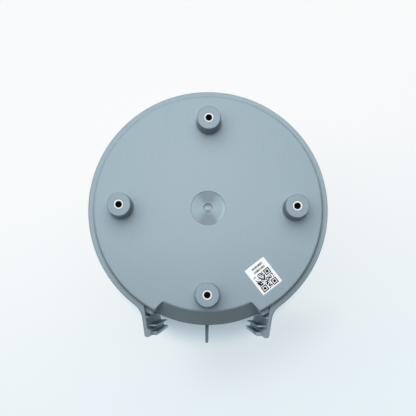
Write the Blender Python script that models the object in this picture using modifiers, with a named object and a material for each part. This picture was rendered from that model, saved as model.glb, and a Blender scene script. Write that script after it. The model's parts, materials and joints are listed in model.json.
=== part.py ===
"""Motorised actuator head: a drum housing with a geared lever drive.

The head lies on its flat front. The drum axis is +Z, the back plate with its four stand-offs faces up,
and the mouth with the output lever is on the -Y side. All sizes are in metres.
"""

import math

import bmesh
import bpy
from mathutils import Vector

# Fits
FIT = 0.0003
RUNNING_FIT = 0.00015
INSERT_FIT = 0.00005

# Drum
RIM_RADIUS = 0.0750
DRAFT = 0.0020
BODY_DEPTH = 0.1500
SHELL_WALL = 0.0048
FRONT_WALL = 0.0030
FRONT_EDGE = 0.0040
FLOOR_FILLET = 0.0020
RIM_STEP = 0.0035
RIM_WIDTH = 0.0033
RIM_ROUND = 0.0014
SEAT_DEPTH = 0.0165

# Mouth between the ears
MOUTH_WALL = 0.0020
MOUTH_HALF_ANGLE = math.radians(33.2)
MOUTH_FRONT = 0.0080
GUSSET_HALF_ANGLE = math.radians(28.5)
GUSSET_DROP = 0.0060
LEDGE_HALF_ANGLE = math.radians(25.5)
LEDGE_HEIGHT = 0.0014
LEDGE_DROP = 0.0170

# Ears
EAR_HALF_SPREAD = 0.0381
EAR_DROP = 0.0047
EAR_LEAN = math.radians(9.1)
EAR_WALL = 0.00175
EAR_FILLET = 0.0054
EAR_FRONT = 0.0060
FOOT_WIDTH = 0.0036
FOOT_HEIGHT = 0.0040
FOOT_SLOPE = 0.0014
FOOT_ROUND = 0.0016
RAIL_WIDTH = 0.0032
RAIL_HEIGHT = 0.0024
RAIL_DROP = 0.0170
RIB_WIDTH = 0.0024
RIB_HEIGHT = 0.0013
RIB_ABOVE_RAIL = 0.0030

# Back plate
PLATE_THICKNESS = 0.0030
PLATE_EDGE = 0.0006
SKIRT_WALL = 0.0028
DISH_RADIUS = 0.0108
DISH_STEP = 0.00025
DISH_DEPTH = 0.0009
DIMPLE_RADIUS = 0.0030
DIMPLE_DEPTH = 0.0005
FACET_RADIUS = 0.0636
FACET_HALF_WIDTH = 0.0272
FACET_DEPTH = 0.0120
FACET_WALL = 0.0030
FACET_BLOCK_ANGLE = math.radians(28.2)
FACET_HOLLOW_ANGLE = math.radians(22.0)
PLATE_RIB_WIDTH = 0.0020
PLATE_RIB_HEIGHT = 0.0055

# Stand-offs and their threaded inserts
STANDOFF_INSET = 0.0210
STANDOFF_HEIGHT = 0.0150
STANDOFF_TOP_RADIUS = 0.00685
STANDOFF_BASE_RADIUS = 0.00725
STANDOFF_FILLET = 0.0015
STANDOFF_EDGE = 0.0004
INSERT_RADIUS = 0.00285
INSERT_BORE = 0.0018
INSERT_LENGTH = 0.0100
INSERT_BELOW = 0.0001

# Posts, pillars and case screws
POST_INSET = 0.0132
POST_RADIUS = 0.0050
PILLAR_RADIUS = 0.0046
PILLAR_STUD_RADIUS = 0.0019
PILLAR_STUD_LENGTH = 0.0110
PILLAR_TAPPING = 0.0120
CASE_BOSS_RADIUS = 0.0070
CASE_BOSS_HEIGHT = 0.0060
CASE_SCREW_RADIUS = 0.0019
CASE_SCREW_GRIP = 0.0090
CASE_HEAD_RADIUS = 0.0038
CASE_HEAD_HEIGHT = 0.0026
CASE_RECESS = 0.0045

# Chassis
CHASSIS_DROP = 0.0560
CHASSIS_THICKNESS = 0.0020
CHASSIS_CLEARANCE = 0.00375
CHASSIS_CORNER = 0.0120

# Gear train
DRIVE_CLEARANCE = 0.0034
PRESSURE_ANGLE = math.radians(25.0)
ADDENDUM = 0.80
DEDENDUM = 1.05
BACKLASH = 0.00020
PINION_TEETH = 12
WHEEL_TEETH = 48
SECTOR_TEETH = 72
SECTOR_HALF_COUNT = 6
SECTOR_WAIST = math.radians(35.0)
SECTOR_HUB_WALL = 0.0060
SECTOR_RIM_WALL = 0.0040
WHEEL_BEARING = math.radians(90.0)
MOTOR_BEARING = math.radians(225.0)
WHEEL_WIDTH = 0.0080
SECTOR_WIDTH = 0.0070
LEVEL_GAP = 0.0030
GEAR_PIN_RADIUS = 0.0020
GEAR_PIN_COLLAR = 0.0040

# Motor
MOTOR_CLEARANCE = 0.0017
MOTOR_HEIGHT = 0.0220
MOTOR_NOZZLE_RADIUS = 0.0055
MOTOR_NOZZLE_HEIGHT = 0.0012
MOTOR_SHAFT_RADIUS = 0.0015
MOTOR_SHAFT_DEPTH = 0.0100
MOTOR_EAR_RADIUS = 0.0045
MOTOR_EAR_THICKNESS = 0.0012
MOTOR_EAR_BEARING = math.radians(105.0)
SMALL_SCREW_RADIUS = 0.0014
SMALL_HEAD_RADIUS = 0.0027
SMALL_HEAD_HEIGHT = 0.0018

# Output shaft, bushes and lever
SHAFT_RADIUS = 0.0050
SHAFT_FLAT = 0.0040
JOURNAL_RADIUS = 0.0045
BUSH_RADIUS = 0.0070
BUSH_FLANGE_RADIUS = 0.0090
BUSH_FLANGE = 0.0012
BEARING_BOSS_RADIUS = 0.0098
BEARING_BOSS_DEPTH = 0.0085
HUB_RADIUS = 0.0090
LEVER_HUB_HEIGHT = 0.0160
LEVER_REACH = 0.0115
LEVER_ARM_WIDTH = 0.0040
LEVER_ROOT_WIDTH = 0.0021
LEVER_TIP_WIDTH = 0.0014
LEVER_BLADE_DEPTH = 0.0280
LEVER_BLADE_DROP = 0.0020
LEVER_SWING = math.radians(20.0)
NOTCH_MARGIN = 0.0022
SHIELD_WALL = 0.0016
SHIELD_LAP = 0.0022

# Limit switches and cams
SWITCH_LENGTH = 0.0198
SWITCH_WIDTH = 0.0102
SWITCH_THICKNESS = 0.0064
SWITCH_HOLE_SPACING = 0.0095
CAM_RADIUS = 0.0090
CAM_LOBE = 0.0030
CAM_LOBE_HALF_ANGLE = math.radians(10.0)
CAM_THICKNESS = 0.0030
PLUNGER_OUT = 0.0015
PLUNGER_LENGTH = 0.0045
PLUNGER_WIDTH = 0.0024
PLUNGER_TRAVEL = 0.0008

# Circuit board
BOARD_NEAR = 0.0040
BOARD_INSET = 0.0005
BOARD_HALF_LENGTH = 0.0330
BOARD_THICKNESS = 0.0016
BOARD_SPACER_LENGTH = 0.0200
BOARD_SPACER_RADIUS = 0.0030
BOARD_SPACER_INSETS = (0.0080, 0.0100)
BOARD_SPACER_END = 0.0060
TERMINAL_SIZE = (0.0340, 0.0110, 0.0125)
TERMINAL_CENTRE = (0.0220, -0.0140)
TERMINAL_POLES = 6
TERMINAL_WIRE_HOLE = 0.0034
TERMINAL_SCREW_RADIUS = 0.0017
RELAY_SIZE = (0.0150, 0.0190, 0.0155)
RELAY_CENTRE = (0.0380, 0.0140)
RELAY_EDGE = 0.0008
CAPACITOR_RADIUS = 0.0063
CAPACITOR_LENGTH = 0.0190
CAPACITOR_CENTRE = (0.0180, 0.0090)

# Cable inlet
GROMMET_HEIGHT = 0.0280
GROMMET_HOLE_RADIUS = 0.0070
GROMMET_LIP = 0.0020
GROMMET_LIP_WALL = 0.0012
GROMMET_MEMBRANE = 0.0010

# Roundness of the meshes
BODY_SEGMENTS = 64
PIECE_SEGMENTS = 16
SMALL_SEGMENTS = 8
SMOOTH_ANGLE = math.radians(32.0)
MERGE = 0.000001
CUT_OVER = 0.0010

# Values worked out from the sizes above
DOWN = -math.pi / 2
RIM_Z = BODY_DEPTH - RIM_STEP
SEAT_Z = RIM_Z - SEAT_DEPTH
FRONT_RADIUS = RIM_RADIUS - DRAFT
SHELL_BORE = RIM_RADIUS - SHELL_WALL
PLATE_RADIUS = RIM_RADIUS - RIM_WIDTH
SEAT_RADIUS = PLATE_RADIUS + FIT
SKIRT_BORE = PLATE_RADIUS - SKIRT_WALL
PLATE_UNDER = BODY_DEPTH - PLATE_THICKNESS
MOUTH_RADIUS = SHELL_BORE + MOUTH_WALL
EAR_TIP = RIM_RADIUS + EAR_DROP
STANDOFF_CIRCLE = RIM_RADIUS - STANDOFF_INSET
POST_CIRCLE = SHELL_BORE - POST_INSET
CHASSIS_TOP = BODY_DEPTH - CHASSIS_DROP
CHASSIS_UNDER = CHASSIS_TOP - CHASSIS_THICKNESS
CHASSIS_REACH = SHELL_BORE - CHASSIS_CLEARANCE
CHASSIS_HALF_WIDTH = (CHASSIS_REACH - CHASSIS_CORNER) / math.sqrt(2) + CHASSIS_CORNER
DRIVE_REACH = SHELL_BORE - DRIVE_CLEARANCE
MODULE = DRIVE_REACH / ((PINION_TEETH + SECTOR_TEETH + WHEEL_TEETH) / 2 + ADDENDUM)
PILLAR_FOOT = FRONT_WALL + CASE_BOSS_HEIGHT + FIT
BEARING_BOSS_Z = PLATE_UNDER - BEARING_BOSS_DEPTH
WHEEL_Z = CHASSIS_TOP + FIT + LEVEL_GAP
SECTOR_Z = WHEEL_Z + WHEEL_WIDTH + LEVEL_GAP
SWITCH_Z = CHASSIS_TOP + FIT
SWITCH_PITCH = SWITCH_THICKNESS + FIT
SWITCH_FACE = CAM_RADIUS + CAM_LOBE + FIT + PLUNGER_OUT
LEVER_HUB_Z = BEARING_BOSS_Z - FIT - BUSH_FLANGE - FIT - LEVER_HUB_HEIGHT
BLADE_TOP = SEAT_Z - LEVER_BLADE_DROP
BLADE_BOTTOM = BLADE_TOP - LEVER_BLADE_DEPTH
NOTCH_BOTTOM = BLADE_BOTTOM - LEVER_BLADE_DROP
LEVER_TIP = MOUTH_RADIUS + LEVER_REACH
NOTCH_HALF_ANGLE = LEVER_SWING + NOTCH_MARGIN / SHELL_BORE
SHIELD_RADIUS = SHELL_BORE - SHIELD_WALL
SHIELD_HALF_ANGLE = NOTCH_HALF_ANGLE + LEVER_SWING
BOARD_TOP = CHASSIS_UNDER - FIT - BOARD_SPACER_LENGTH
BOARD_UNDER = BOARD_TOP - BOARD_THICKNESS
BOARD_LOW = (BOARD_NEAR, -BOARD_HALF_LENGTH)
BOARD_HIGH = (CHASSIS_HALF_WIDTH - BOARD_INSET, BOARD_HALF_LENGTH)
BOARD_SPACER_PLACES = (
    (BOARD_LOW[0] + BOARD_SPACER_INSETS[0], BOARD_HIGH[1] - BOARD_SPACER_END),
    (BOARD_HIGH[0] - BOARD_SPACER_INSETS[1], BOARD_LOW[1] + BOARD_SPACER_END),
)


def polar(radius, angle):
    """Point at a radius and an angle from +X."""
    return (radius * math.cos(angle), radius * math.sin(angle))


def step_from(point, distance, angle):
    """Point at a distance and an angle from another point."""
    offset = polar(distance, angle)
    return (point[0] + offset[0], point[1] + offset[1])


def arc(radius, start, end, steps, centre=(0.0, 0.0)):
    """Points along an arc, both ends included."""
    angles = [start + (end - start) * step / steps for step in range(steps + 1)]
    return [step_from(centre, radius, angle) for angle in angles]


def circle(radius, segments, centre=(0.0, 0.0)):
    """Closed round outline."""
    return arc(radius, 0.0, math.tau, segments, centre)[:-1]


def rounded(corners, steps=4):
    """Outline through (x, y, radius) corners, each rounded by an arc of its own radius."""
    outline = []
    for index, (x, y, radius) in enumerate(corners):
        corner = Vector((x, y))
        if radius == 0.0:
            outline.append((x, y))
            continue
        before = (Vector(corners[index - 1][:2]) - corner).normalized()
        after = (Vector(corners[(index + 1) % len(corners)][:2]) - corner).normalized()
        half = before.angle(after) / 2
        centre = corner + (before + after).normalized() * radius / math.sin(half)
        start = corner + before * radius / math.tan(half) - centre
        turn = start.angle_signed(corner + after * radius / math.tan(half) - centre)
        first = math.atan2(start.y, start.x)
        outline += arc(radius, first, first - turn, steps, centre)
    return outline


def mirrored(outline):
    """Outline mirrored across the YZ plane."""
    return [(-x, y) for x, y in outline]


def ring_sector(inner, outer, half_angle, steps=16, middle=DOWN):
    """Outline of a ring's sector, centred on an angle."""
    near = arc(inner, middle - half_angle, middle + half_angle, steps)
    far = arc(outer, middle + half_angle, middle - half_angle, steps)
    return near + far


def double_d(radius, flat, steps=6):
    """Round outline with two flats, square to X."""
    cut = math.acos(flat / radius)
    return arc(radius, cut, math.pi - cut, steps) + arc(radius, math.pi + cut, math.tau - cut, steps)


def involute(angle):
    """Involute function of a pressure angle."""
    return math.tan(angle) - angle


def tooth_flank(teeth, steps):
    """(radius, half angle) points up one side of a gear tooth, from its root to its tip."""
    pitch = teeth * MODULE / 2
    base = pitch * math.cos(PRESSURE_ANGLE)
    root = pitch - DEDENDUM * MODULE
    tip = pitch + ADDENDUM * MODULE
    start = max(base, root)
    half_tooth = (math.pi * MODULE - BACKLASH) / (4 * pitch) + involute(PRESSURE_ANGLE)
    radii = [start + (tip - start) * step / steps for step in range(steps + 1)]
    flank = [(radius, half_tooth - involute(math.acos(base / radius))) for radius in radii]
    if root < base:
        flank.insert(0, (root, flank[0][1]))
    return flank


def gear_teeth(teeth, phase, numbers, steps=1):
    """Points round the given teeth, where tooth 0 is centred on the phase angle."""
    flank = tooth_flank(teeth, steps)
    points = []
    for number in numbers:
        middle = phase + math.tau * number / teeth
        points += [polar(radius, middle - half) for radius, half in flank]
        points += [polar(radius, middle + half) for radius, half in reversed(flank)]
    return points


def collection_named(name):
    """New collection in the scene."""
    collection = bpy.data.collections.new(name)
    bpy.context.scene.collection.children.link(collection)
    return collection


def clear_scene():
    """Remove what the file starts with."""
    for obj in list(bpy.data.objects):
        bpy.data.objects.remove(obj, do_unlink=True)
    for collection in list(bpy.data.collections):
        bpy.data.collections.remove(collection)


clear_scene()
PARTS = collection_named("actuator_head")
CUTTERS = collection_named("cutters")


def finish_material(name, colour, roughness, metallic=0.0):
    """Principled material with a colour, a roughness and a metallic value."""
    material = bpy.data.materials.new(name)
    material.use_nodes = True
    shader = material.node_tree.nodes["Principled BSDF"]
    shader.inputs["Base Color"].default_value = (*colour, 1.0)
    shader.inputs["Roughness"].default_value = roughness
    shader.inputs["Metallic"].default_value = metallic
    return material


HOUSING_PLASTIC = finish_material("housing_plastic", (0.36, 0.46, 0.52), 0.55)
GEAR_PLASTIC = finish_material("gear_plastic", (0.85, 0.84, 0.78), 0.45)
DARK_PLASTIC = finish_material("dark_plastic", (0.03, 0.03, 0.035), 0.50)
BOARD_LAMINATE = finish_material("board_laminate", (0.05, 0.22, 0.09), 0.45)
TERMINAL_PLASTIC = finish_material("terminal_plastic", (0.10, 0.35, 0.16), 0.50)
INLET_RUBBER = finish_material("inlet_rubber", (0.02, 0.02, 0.02), 0.75)
PLATED_STEEL = finish_material("plated_steel", (0.72, 0.72, 0.70), 0.30, 1.0)
INSERT_METAL = finish_material("insert_metal", (0.80, 0.79, 0.76), 0.22, 1.0)
BUSH_BRONZE = finish_material("bush_bronze", (0.55, 0.36, 0.16), 0.40, 1.0)


def place(name, mesh, location=(0.0, 0.0, 0.0)):
    """Object for a mesh, set aside as a guide until it is made a piece."""
    obj = bpy.data.objects.new(name, mesh)
    obj.location = location
    obj.hide_render = True
    obj.display_type = "WIRE"
    CUTTERS.objects.link(obj)
    return obj


def evaluated_mesh(obj):
    """Mesh of an object with its modifiers applied."""
    bpy.context.view_layer.update()
    graph = bpy.context.evaluated_depsgraph_get()
    return bpy.data.meshes.new_from_object(obj.evaluated_get(graph))


def weld(mesh):
    """Merge the loose caps of a filled curve with its sides."""
    shape = bmesh.new()
    shape.from_mesh(mesh)
    bmesh.ops.remove_doubles(shape, verts=shape.verts, dist=MERGE)
    shape.to_mesh(mesh)
    shape.free()


def piece(obj, material):
    """Turn a guide into a finished piece: its modifiers applied, its material set, shaded smooth."""
    mesh = evaluated_mesh(obj)
    mesh.materials.clear()
    mesh.materials.append(material)
    mesh.shade_smooth()
    mesh.set_sharp_from_angle(angle=SMOOTH_ANGLE)
    obj.modifiers.clear()
    obj.data = mesh
    obj.hide_render = False
    obj.display_type = "TEXTURED"
    CUTTERS.objects.unlink(obj)
    PARTS.objects.link(obj)
    return obj


def turned(name, profile, segments=PIECE_SEGMENTS, location=(0.0, 0.0, 0.0), closed=False):
    """Solid turned about Z from a (radius, height) profile that runs down its outer side."""
    mesh = bpy.data.meshes.new(name)
    points = [(radius, 0.0, height) for radius, height in profile]
    links = [(index, index + 1) for index in range(len(points) - 1)]
    if closed:
        links.append((len(points) - 1, 0))
    mesh.from_pydata(points, links, [])
    obj = place(name, mesh, location)
    screw_turn = obj.modifiers.new("turn", "SCREW")
    screw_turn.steps = segments
    screw_turn.render_steps = segments
    screw_turn.use_merge_vertices = True
    screw_turn.merge_threshold = MERGE
    return obj


def extruded(name, outlines, bottom, top, location=(0.0, 0.0, 0.0)):
    """Solid between two heights from a flat outline, with any inner outlines left as holes."""
    curve = bpy.data.curves.new(name, "CURVE")
    curve.dimensions = "2D"
    curve.fill_mode = "BOTH"
    curve.extrude = (top - bottom) / 2
    for outline in outlines:
        spline = curve.splines.new("POLY")
        spline.points.add(len(outline) - 1)
        for point, (x, y) in zip(spline.points, outline):
            point.co = (x, y, 0.0, 1.0)
        spline.use_cyclic_u = True
    outline_object = bpy.data.objects.new(name + "_outline", curve)
    outline_object.location = (location[0], location[1], location[2] + (top + bottom) / 2)
    CUTTERS.objects.link(outline_object)
    mesh = evaluated_mesh(outline_object)
    weld(mesh)
    obj = place(name, mesh)
    obj.matrix_world = outline_object.matrix_world
    bpy.data.objects.remove(outline_object, do_unlink=True)
    return obj


def cylinder(name, radius, bottom, top, centre=(0.0, 0.0), segments=SMALL_SEGMENTS):
    """Upright cylinder between two heights."""
    mesh = bpy.data.meshes.new(name)
    shape = bmesh.new()
    bmesh.ops.create_cone(
        shape, cap_ends=True, segments=segments, radius1=radius, radius2=radius, depth=top - bottom
    )
    shape.to_mesh(mesh)
    shape.free()
    return place(name, mesh, (centre[0], centre[1], (top + bottom) / 2))


def box(name, low, high):
    """Box between two corners."""
    size = Vector(high) - Vector(low)
    mesh = bpy.data.meshes.new(name)
    shape = bmesh.new()
    bmesh.ops.create_cube(shape, size=1.0)
    bmesh.ops.scale(shape, vec=size, verts=shape.verts)
    shape.to_mesh(mesh)
    shape.free()
    return place(name, mesh, (Vector(low) + Vector(high)) / 2)


def combine(target, operation, others):
    """Add one Boolean modifier for each other solid."""
    for other in others:
        boolean = target.modifiers.new(operation.lower(), "BOOLEAN")
        boolean.operation = operation
        boolean.object = other
    return target


def join(target, *others):
    """Unite other solids with a target."""
    return combine(target, "UNION", others)


def cut(target, *others):
    """Cut other solids out of a target."""
    return combine(target, "DIFFERENCE", others)


def keep_inside(target, other):
    """Keep only what a target shares with another solid."""
    return combine(target, "INTERSECT", [other])


def quarter_points(radius):
    """Four centres on a circle, by name, the first one on +X."""
    names = ("right", "top", "left", "bottom")
    return {name: polar(radius, index * math.pi / 2) for index, name in enumerate(names)}


def corner_points(radius):
    """Four centres on a circle at its diagonals, by name."""
    names = ("upper_right", "upper_left", "lower_left", "lower_right")
    return {
        name: polar(radius, math.pi / 4 + index * math.pi / 2) for index, name in enumerate(names)
    }


STANDOFFS = quarter_points(STANDOFF_CIRCLE)
POSTS = corner_points(POST_CIRCLE)
WHEEL_AXIS = polar((PINION_TEETH + SECTOR_TEETH) * MODULE / 2, WHEEL_BEARING)
MOTOR_AXIS = step_from(WHEEL_AXIS, (PINION_TEETH + WHEEL_TEETH) * MODULE / 2, MOTOR_BEARING)
MOTOR_ROOM = (Vector(POSTS["upper_left"]) - Vector(MOTOR_AXIS)).length - PILLAR_RADIUS
MOTOR_RADIUS = MOTOR_ROOM - MOTOR_CLEARANCE
MOTOR_EAR_REACH = MOTOR_RADIUS + MOTOR_EAR_RADIUS
MOTOR_EAR_BEARINGS = (MOTOR_EAR_BEARING, MOTOR_EAR_BEARING + math.pi)
MOTOR_EARS = [step_from(MOTOR_AXIS, MOTOR_EAR_REACH, bearing) for bearing in MOTOR_EAR_BEARINGS]
SWITCH_HOLES = [
    (SWITCH_FACE + SWITCH_WIDTH * 0.7, side * SWITCH_HOLE_SPACING / 2) for side in (-1, 1)
]


def ear_outline():
    """Left ear: a leaning wall that flows out of the rim and ends in an inward foot."""
    lean = math.tan(EAR_LEAN)
    wall = EAR_WALL / math.cos(EAR_LEAN)
    tip = -EAR_TIP

    def outer_x(y):
        return -EAR_HALF_SPREAD - (y - tip) * lean

    # The outer side meets the rim circle at the lower root of a quadratic in y.
    slope_term = 1 + lean * lean
    offset = EAR_HALF_SPREAD - tip * lean
    mixed_term = offset * lean
    free_term = offset * offset - RIM_RADIUS * RIM_RADIUS
    root_y = (-mixed_term - math.sqrt(mixed_term * mixed_term - slope_term * free_term)) / slope_term
    root_x = outer_x(root_y)
    inside = 1 - RIM_WIDTH / RIM_RADIUS / 2
    tangent = math.atan2(root_y, root_x)
    anchor = step_from((root_x * inside, root_y * inside), EAR_FILLET * 0.7, tangent - math.pi / 2)
    bore_y = root_y * (SEAT_RADIUS + FIT) / RIM_RADIUS
    foot_top = tip + FOOT_HEIGHT
    foot_inner = -EAR_HALF_SPREAD + FOOT_WIDTH
    return rounded([
        (anchor[0], anchor[1], 0.0),
        (root_x, root_y, EAR_FILLET),
        (-EAR_HALF_SPREAD, tip, FOOT_ROUND),
        (foot_inner - FOOT_ROUND * 0.4, tip, FOOT_ROUND * 0.6),
        (foot_inner, foot_top, FOOT_ROUND * 0.4),
        (outer_x(foot_top + FOOT_SLOPE) + wall, foot_top + FOOT_SLOPE, FOOT_ROUND * 0.5),
        (outer_x(bore_y) + wall, bore_y, 0.0),
    ])


def rail_outlines():
    """Guide rail on the left foot and the rib above it, with the groove between them."""
    tip = -EAR_TIP
    foot_inner = -EAR_HALF_SPREAD + FOOT_WIDTH
    rail_inner = foot_inner + RAIL_WIDTH
    rail_low = tip + FOOT_ROUND * 0.3
    rail_high = rail_low + RAIL_HEIGHT
    rib_low = rail_high + RIB_ABOVE_RAIL
    rib_high = rib_low + RIB_HEIGHT
    wall_x = -EAR_HALF_SPREAD + EAR_WALL / 2
    rib_root = wall_x - (rib_low - tip) * math.tan(EAR_LEAN)
    corner = RIB_HEIGHT * 0.4
    rail = rounded([
        (wall_x, rail_low, 0.0),
        (rail_inner, rail_low, corner),
        (rail_inner, rail_high, corner),
        (wall_x, rail_high, 0.0),
    ])
    rib = rounded([
        (rib_root, rib_low, 0.0),
        (foot_inner + RIB_WIDTH, rib_low, corner),
        (foot_inner + RIB_WIDTH, rib_high, corner),
        (rib_root, rib_high, 0.0),
    ])
    return rail, rib


def drafted(obj, top):
    """Narrow a solid towards the front by the drum's own draft."""
    for vertex in obj.data.vertices:
        height = vertex.co.z + obj.location.z
        share = 1 - DRAFT / RIM_RADIUS * (top - height) / top
        vertex.co.x *= share
        vertex.co.y *= share
    return obj


def front_shell():
    """Drum with its front wall, its mouth and its two guide ears."""
    profile = [(0.0, FRONT_WALL), (SHELL_BORE - FLOOR_FILLET, FRONT_WALL)]
    profile += [(SHELL_BORE, FRONT_WALL + FLOOR_FILLET), (SHELL_BORE, SEAT_Z)]
    profile += [(SEAT_RADIUS, SEAT_Z), (SEAT_RADIUS, RIM_Z)]
    profile += arc(RIM_ROUND, math.pi / 2, 0.0, 2, (RIM_RADIUS - RIM_ROUND, RIM_Z - RIM_ROUND))
    profile += arc(FRONT_EDGE, 0.0, -math.pi / 2, 3, (FRONT_RADIUS - FRONT_EDGE, FRONT_EDGE))
    profile += [(0.0, 0.0)]
    shell = turned("front_shell", profile, BODY_SEGMENTS)
    reach = EAR_TIP + CUT_OVER
    mouth = ring_sector(MOUTH_RADIUS, reach, MOUTH_HALF_ANGLE)
    mouth_top = ring_sector(SKIRT_BORE, reach, MOUTH_HALF_ANGLE + FIT / RIM_RADIUS)
    cut(
        shell,
        extruded("mouth_cut", [mouth], MOUTH_FRONT, BODY_DEPTH),
        extruded("mouth_top_cut", [mouth_top], SEAT_Z, BODY_DEPTH),
    )
    ear = ear_outline()
    rail, rib = rail_outlines()
    gusset = ring_sector(
        SEAT_RADIUS, RIM_RADIUS, (MOUTH_HALF_ANGLE - GUSSET_HALF_ANGLE) * 0.6, 4,
        DOWN - GUSSET_HALF_ANGLE - (MOUTH_HALF_ANGLE - GUSSET_HALF_ANGLE) * 0.6,
    )
    ledge = ring_sector(
        SHELL_BORE + MOUTH_WALL / 3, MOUTH_RADIUS + LEDGE_HEIGHT, GUSSET_HALF_ANGLE - LEDGE_HALF_ANGLE, 4,
        DOWN - GUSSET_HALF_ANGLE,
    )
    for side, shape in (("left", list), ("right", mirrored)):
        join(
            shell,
            drafted(extruded("ear_" + side, [shape(ear)], EAR_FRONT, RIM_Z), RIM_Z),
            drafted(extruded("rail_" + side, [shape(rail)], 2 * EAR_FRONT, RIM_Z - RAIL_DROP), RIM_Z),
            drafted(extruded("rib_" + side, [shape(rib)], 2 * EAR_FRONT, RIM_Z - RAIL_DROP), RIM_Z),
            extruded("gusset_" + side, [shape(gusset)], 2 * EAR_FRONT, RIM_Z - GUSSET_DROP),
            extruded("ledge_" + side, [shape(ledge)], 3 * EAR_FRONT, RIM_Z - LEDGE_DROP),
        )
    notch = ring_sector(SKIRT_BORE, MOUTH_RADIUS + CUT_OVER, NOTCH_HALF_ANGLE)
    cut(shell, extruded("notch_cut", [notch], NOTCH_BOTTOM, SEAT_Z + CUT_OVER))
    inlet = cylinder("inlet_cut", GROMMET_HOLE_RADIUS, -RIM_STEP, RIM_STEP, segments=PIECE_SEGMENTS)
    inlet.rotation_euler.x = math.pi / 2
    inlet.location = (0.0, -SHELL_BORE - MOUTH_WALL / 2, GROMMET_HEIGHT)
    cut(shell, inlet)
    for name, centre in POSTS.items():
        boss_top = FRONT_WALL + CASE_BOSS_HEIGHT
        hole = CASE_SCREW_RADIUS + FIT
        recess = CASE_HEAD_RADIUS + FIT
        join(shell, cylinder("case_boss_" + name, CASE_BOSS_RADIUS, FRONT_WALL / 2, boss_top, centre))
        cut(
            shell,
            cylinder("case_hole_" + name, hole, -CUT_OVER, boss_top + CUT_OVER, centre),
            cylinder("case_recess_" + name, recess, -CUT_OVER, CASE_RECESS, centre),
        )
    return piece(shell, HOUSING_PLASTIC)


def facet_cutter():
    """What the sloping facet removes: a wedge with diagonal ends, less the cone that stays."""
    lip_z = BODY_DEPTH - FACET_DEPTH
    corner_y = -math.sqrt(FACET_RADIUS ** 2 - FACET_HALF_WIDTH ** 2)
    spread = RIM_RADIUS - FACET_RADIUS + CUT_OVER
    plan = [
        (-FACET_HALF_WIDTH, corner_y),
        (-FACET_HALF_WIDTH - spread, corner_y - spread),
        (0.0, -RIM_RADIUS - spread),
        (FACET_HALF_WIDTH + spread, corner_y - spread),
        (FACET_HALF_WIDTH, corner_y),
        (0.0, corner_y + CUT_OVER),
    ]
    slope = (MOUTH_RADIUS - FACET_RADIUS) / FACET_DEPTH
    over_z = BODY_DEPTH + CUT_OVER
    cone = turned("facet_cone", [
        (0.0, over_z),
        (FACET_RADIUS - slope * CUT_OVER, over_z),
        (MOUTH_RADIUS + slope * CUT_OVER, lip_z - CUT_OVER),
        (0.0, lip_z - CUT_OVER),
    ], BODY_SEGMENTS)
    return cut(extruded("facet_wedge", [plan], lip_z, over_z - CUT_OVER / 2), cone)


def facet_hollow():
    """Room under the facet, so that its wall keeps an even thickness."""
    slope = (MOUTH_RADIUS - FACET_RADIUS) / FACET_DEPTH
    lean = math.atan(slope)
    inner_radius = FACET_RADIUS - FACET_WALL * math.cos(lean)
    inner_z = BODY_DEPTH - FACET_WALL * math.sin(lean)
    low = SEAT_Z - CUT_OVER
    start = FACET_RADIUS / 2
    ring = turned("facet_hollow", [
        (start, PLATE_UNDER),
        (inner_radius + (inner_z - PLATE_UNDER) * slope, PLATE_UNDER),
        (SKIRT_BORE, inner_z - (SKIRT_BORE - inner_radius) / slope),
        (SKIRT_BORE, low),
        (start, low),
    ], BODY_SEGMENTS, closed=True)
    window = ring_sector(start - CUT_OVER, RIM_RADIUS, FACET_HOLLOW_ANGLE)
    return keep_inside(ring, extruded("facet_window", [window], low - CUT_OVER, BODY_DEPTH))


def standoff(name, centre):
    """Stand-off boss with its insert pocket, drafted and filleted into the back plate."""
    top = BODY_DEPTH + STANDOFF_HEIGHT
    root = PLATE_UNDER + PLATE_THICKNESS / 2
    foot = STANDOFF_BASE_RADIUS + STANDOFF_FILLET
    pocket = INSERT_RADIUS + INSERT_FIT
    pocket_floor = top - INSERT_LENGTH - INSERT_FIT
    profile = [(0.0, pocket_floor), (pocket, pocket_floor), (pocket, top)]
    profile += [(STANDOFF_TOP_RADIUS - STANDOFF_EDGE, top), (STANDOFF_TOP_RADIUS, top - STANDOFF_EDGE)]
    profile += arc(STANDOFF_FILLET, math.pi, math.pi * 1.5, 2, (foot, BODY_DEPTH + STANDOFF_FILLET))
    profile += [(foot, root), (0.0, root)]
    return turned("standoff_" + name, profile, PIECE_SEGMENTS, (centre[0], centre[1], 0.0))


def post(name, centre):
    """Inner post that the chassis seats on, with room for a pillar's stud."""
    top = PLATE_UNDER + PLATE_THICKNESS / 2
    end = CHASSIS_TOP + FIT
    room = PILLAR_STUD_RADIUS + FIT
    room_top = end + PILLAR_STUD_LENGTH
    profile = [(0.0, top), (POST_RADIUS, top), (POST_RADIUS, end), (room, end)]
    profile += [(room, room_top), (0.0, room_top)]
    return turned("post_" + name, profile, SMALL_SEGMENTS, (centre[0], centre[1], 0.0))


def plate_rib(name, centre):
    """Rib under the back plate, from the rear bearing to a post."""
    angle = math.atan2(centre[1], centre[0])
    start = (BUSH_RADIUS + FIT + BEARING_BOSS_RADIUS) / 2
    length = POST_CIRCLE - start
    rib = box(
        "plate_rib_" + name,
        (-length / 2, -PLATE_RIB_WIDTH / 2, PLATE_UNDER - PLATE_RIB_HEIGHT),
        (length / 2, PLATE_RIB_WIDTH / 2, PLATE_UNDER + PLATE_THICKNESS / 2),
    )
    middle = polar(start + length / 2, angle)
    rib.location = (middle[0], middle[1], rib.location.z)
    rib.rotation_euler.z = angle
    return rib


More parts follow.
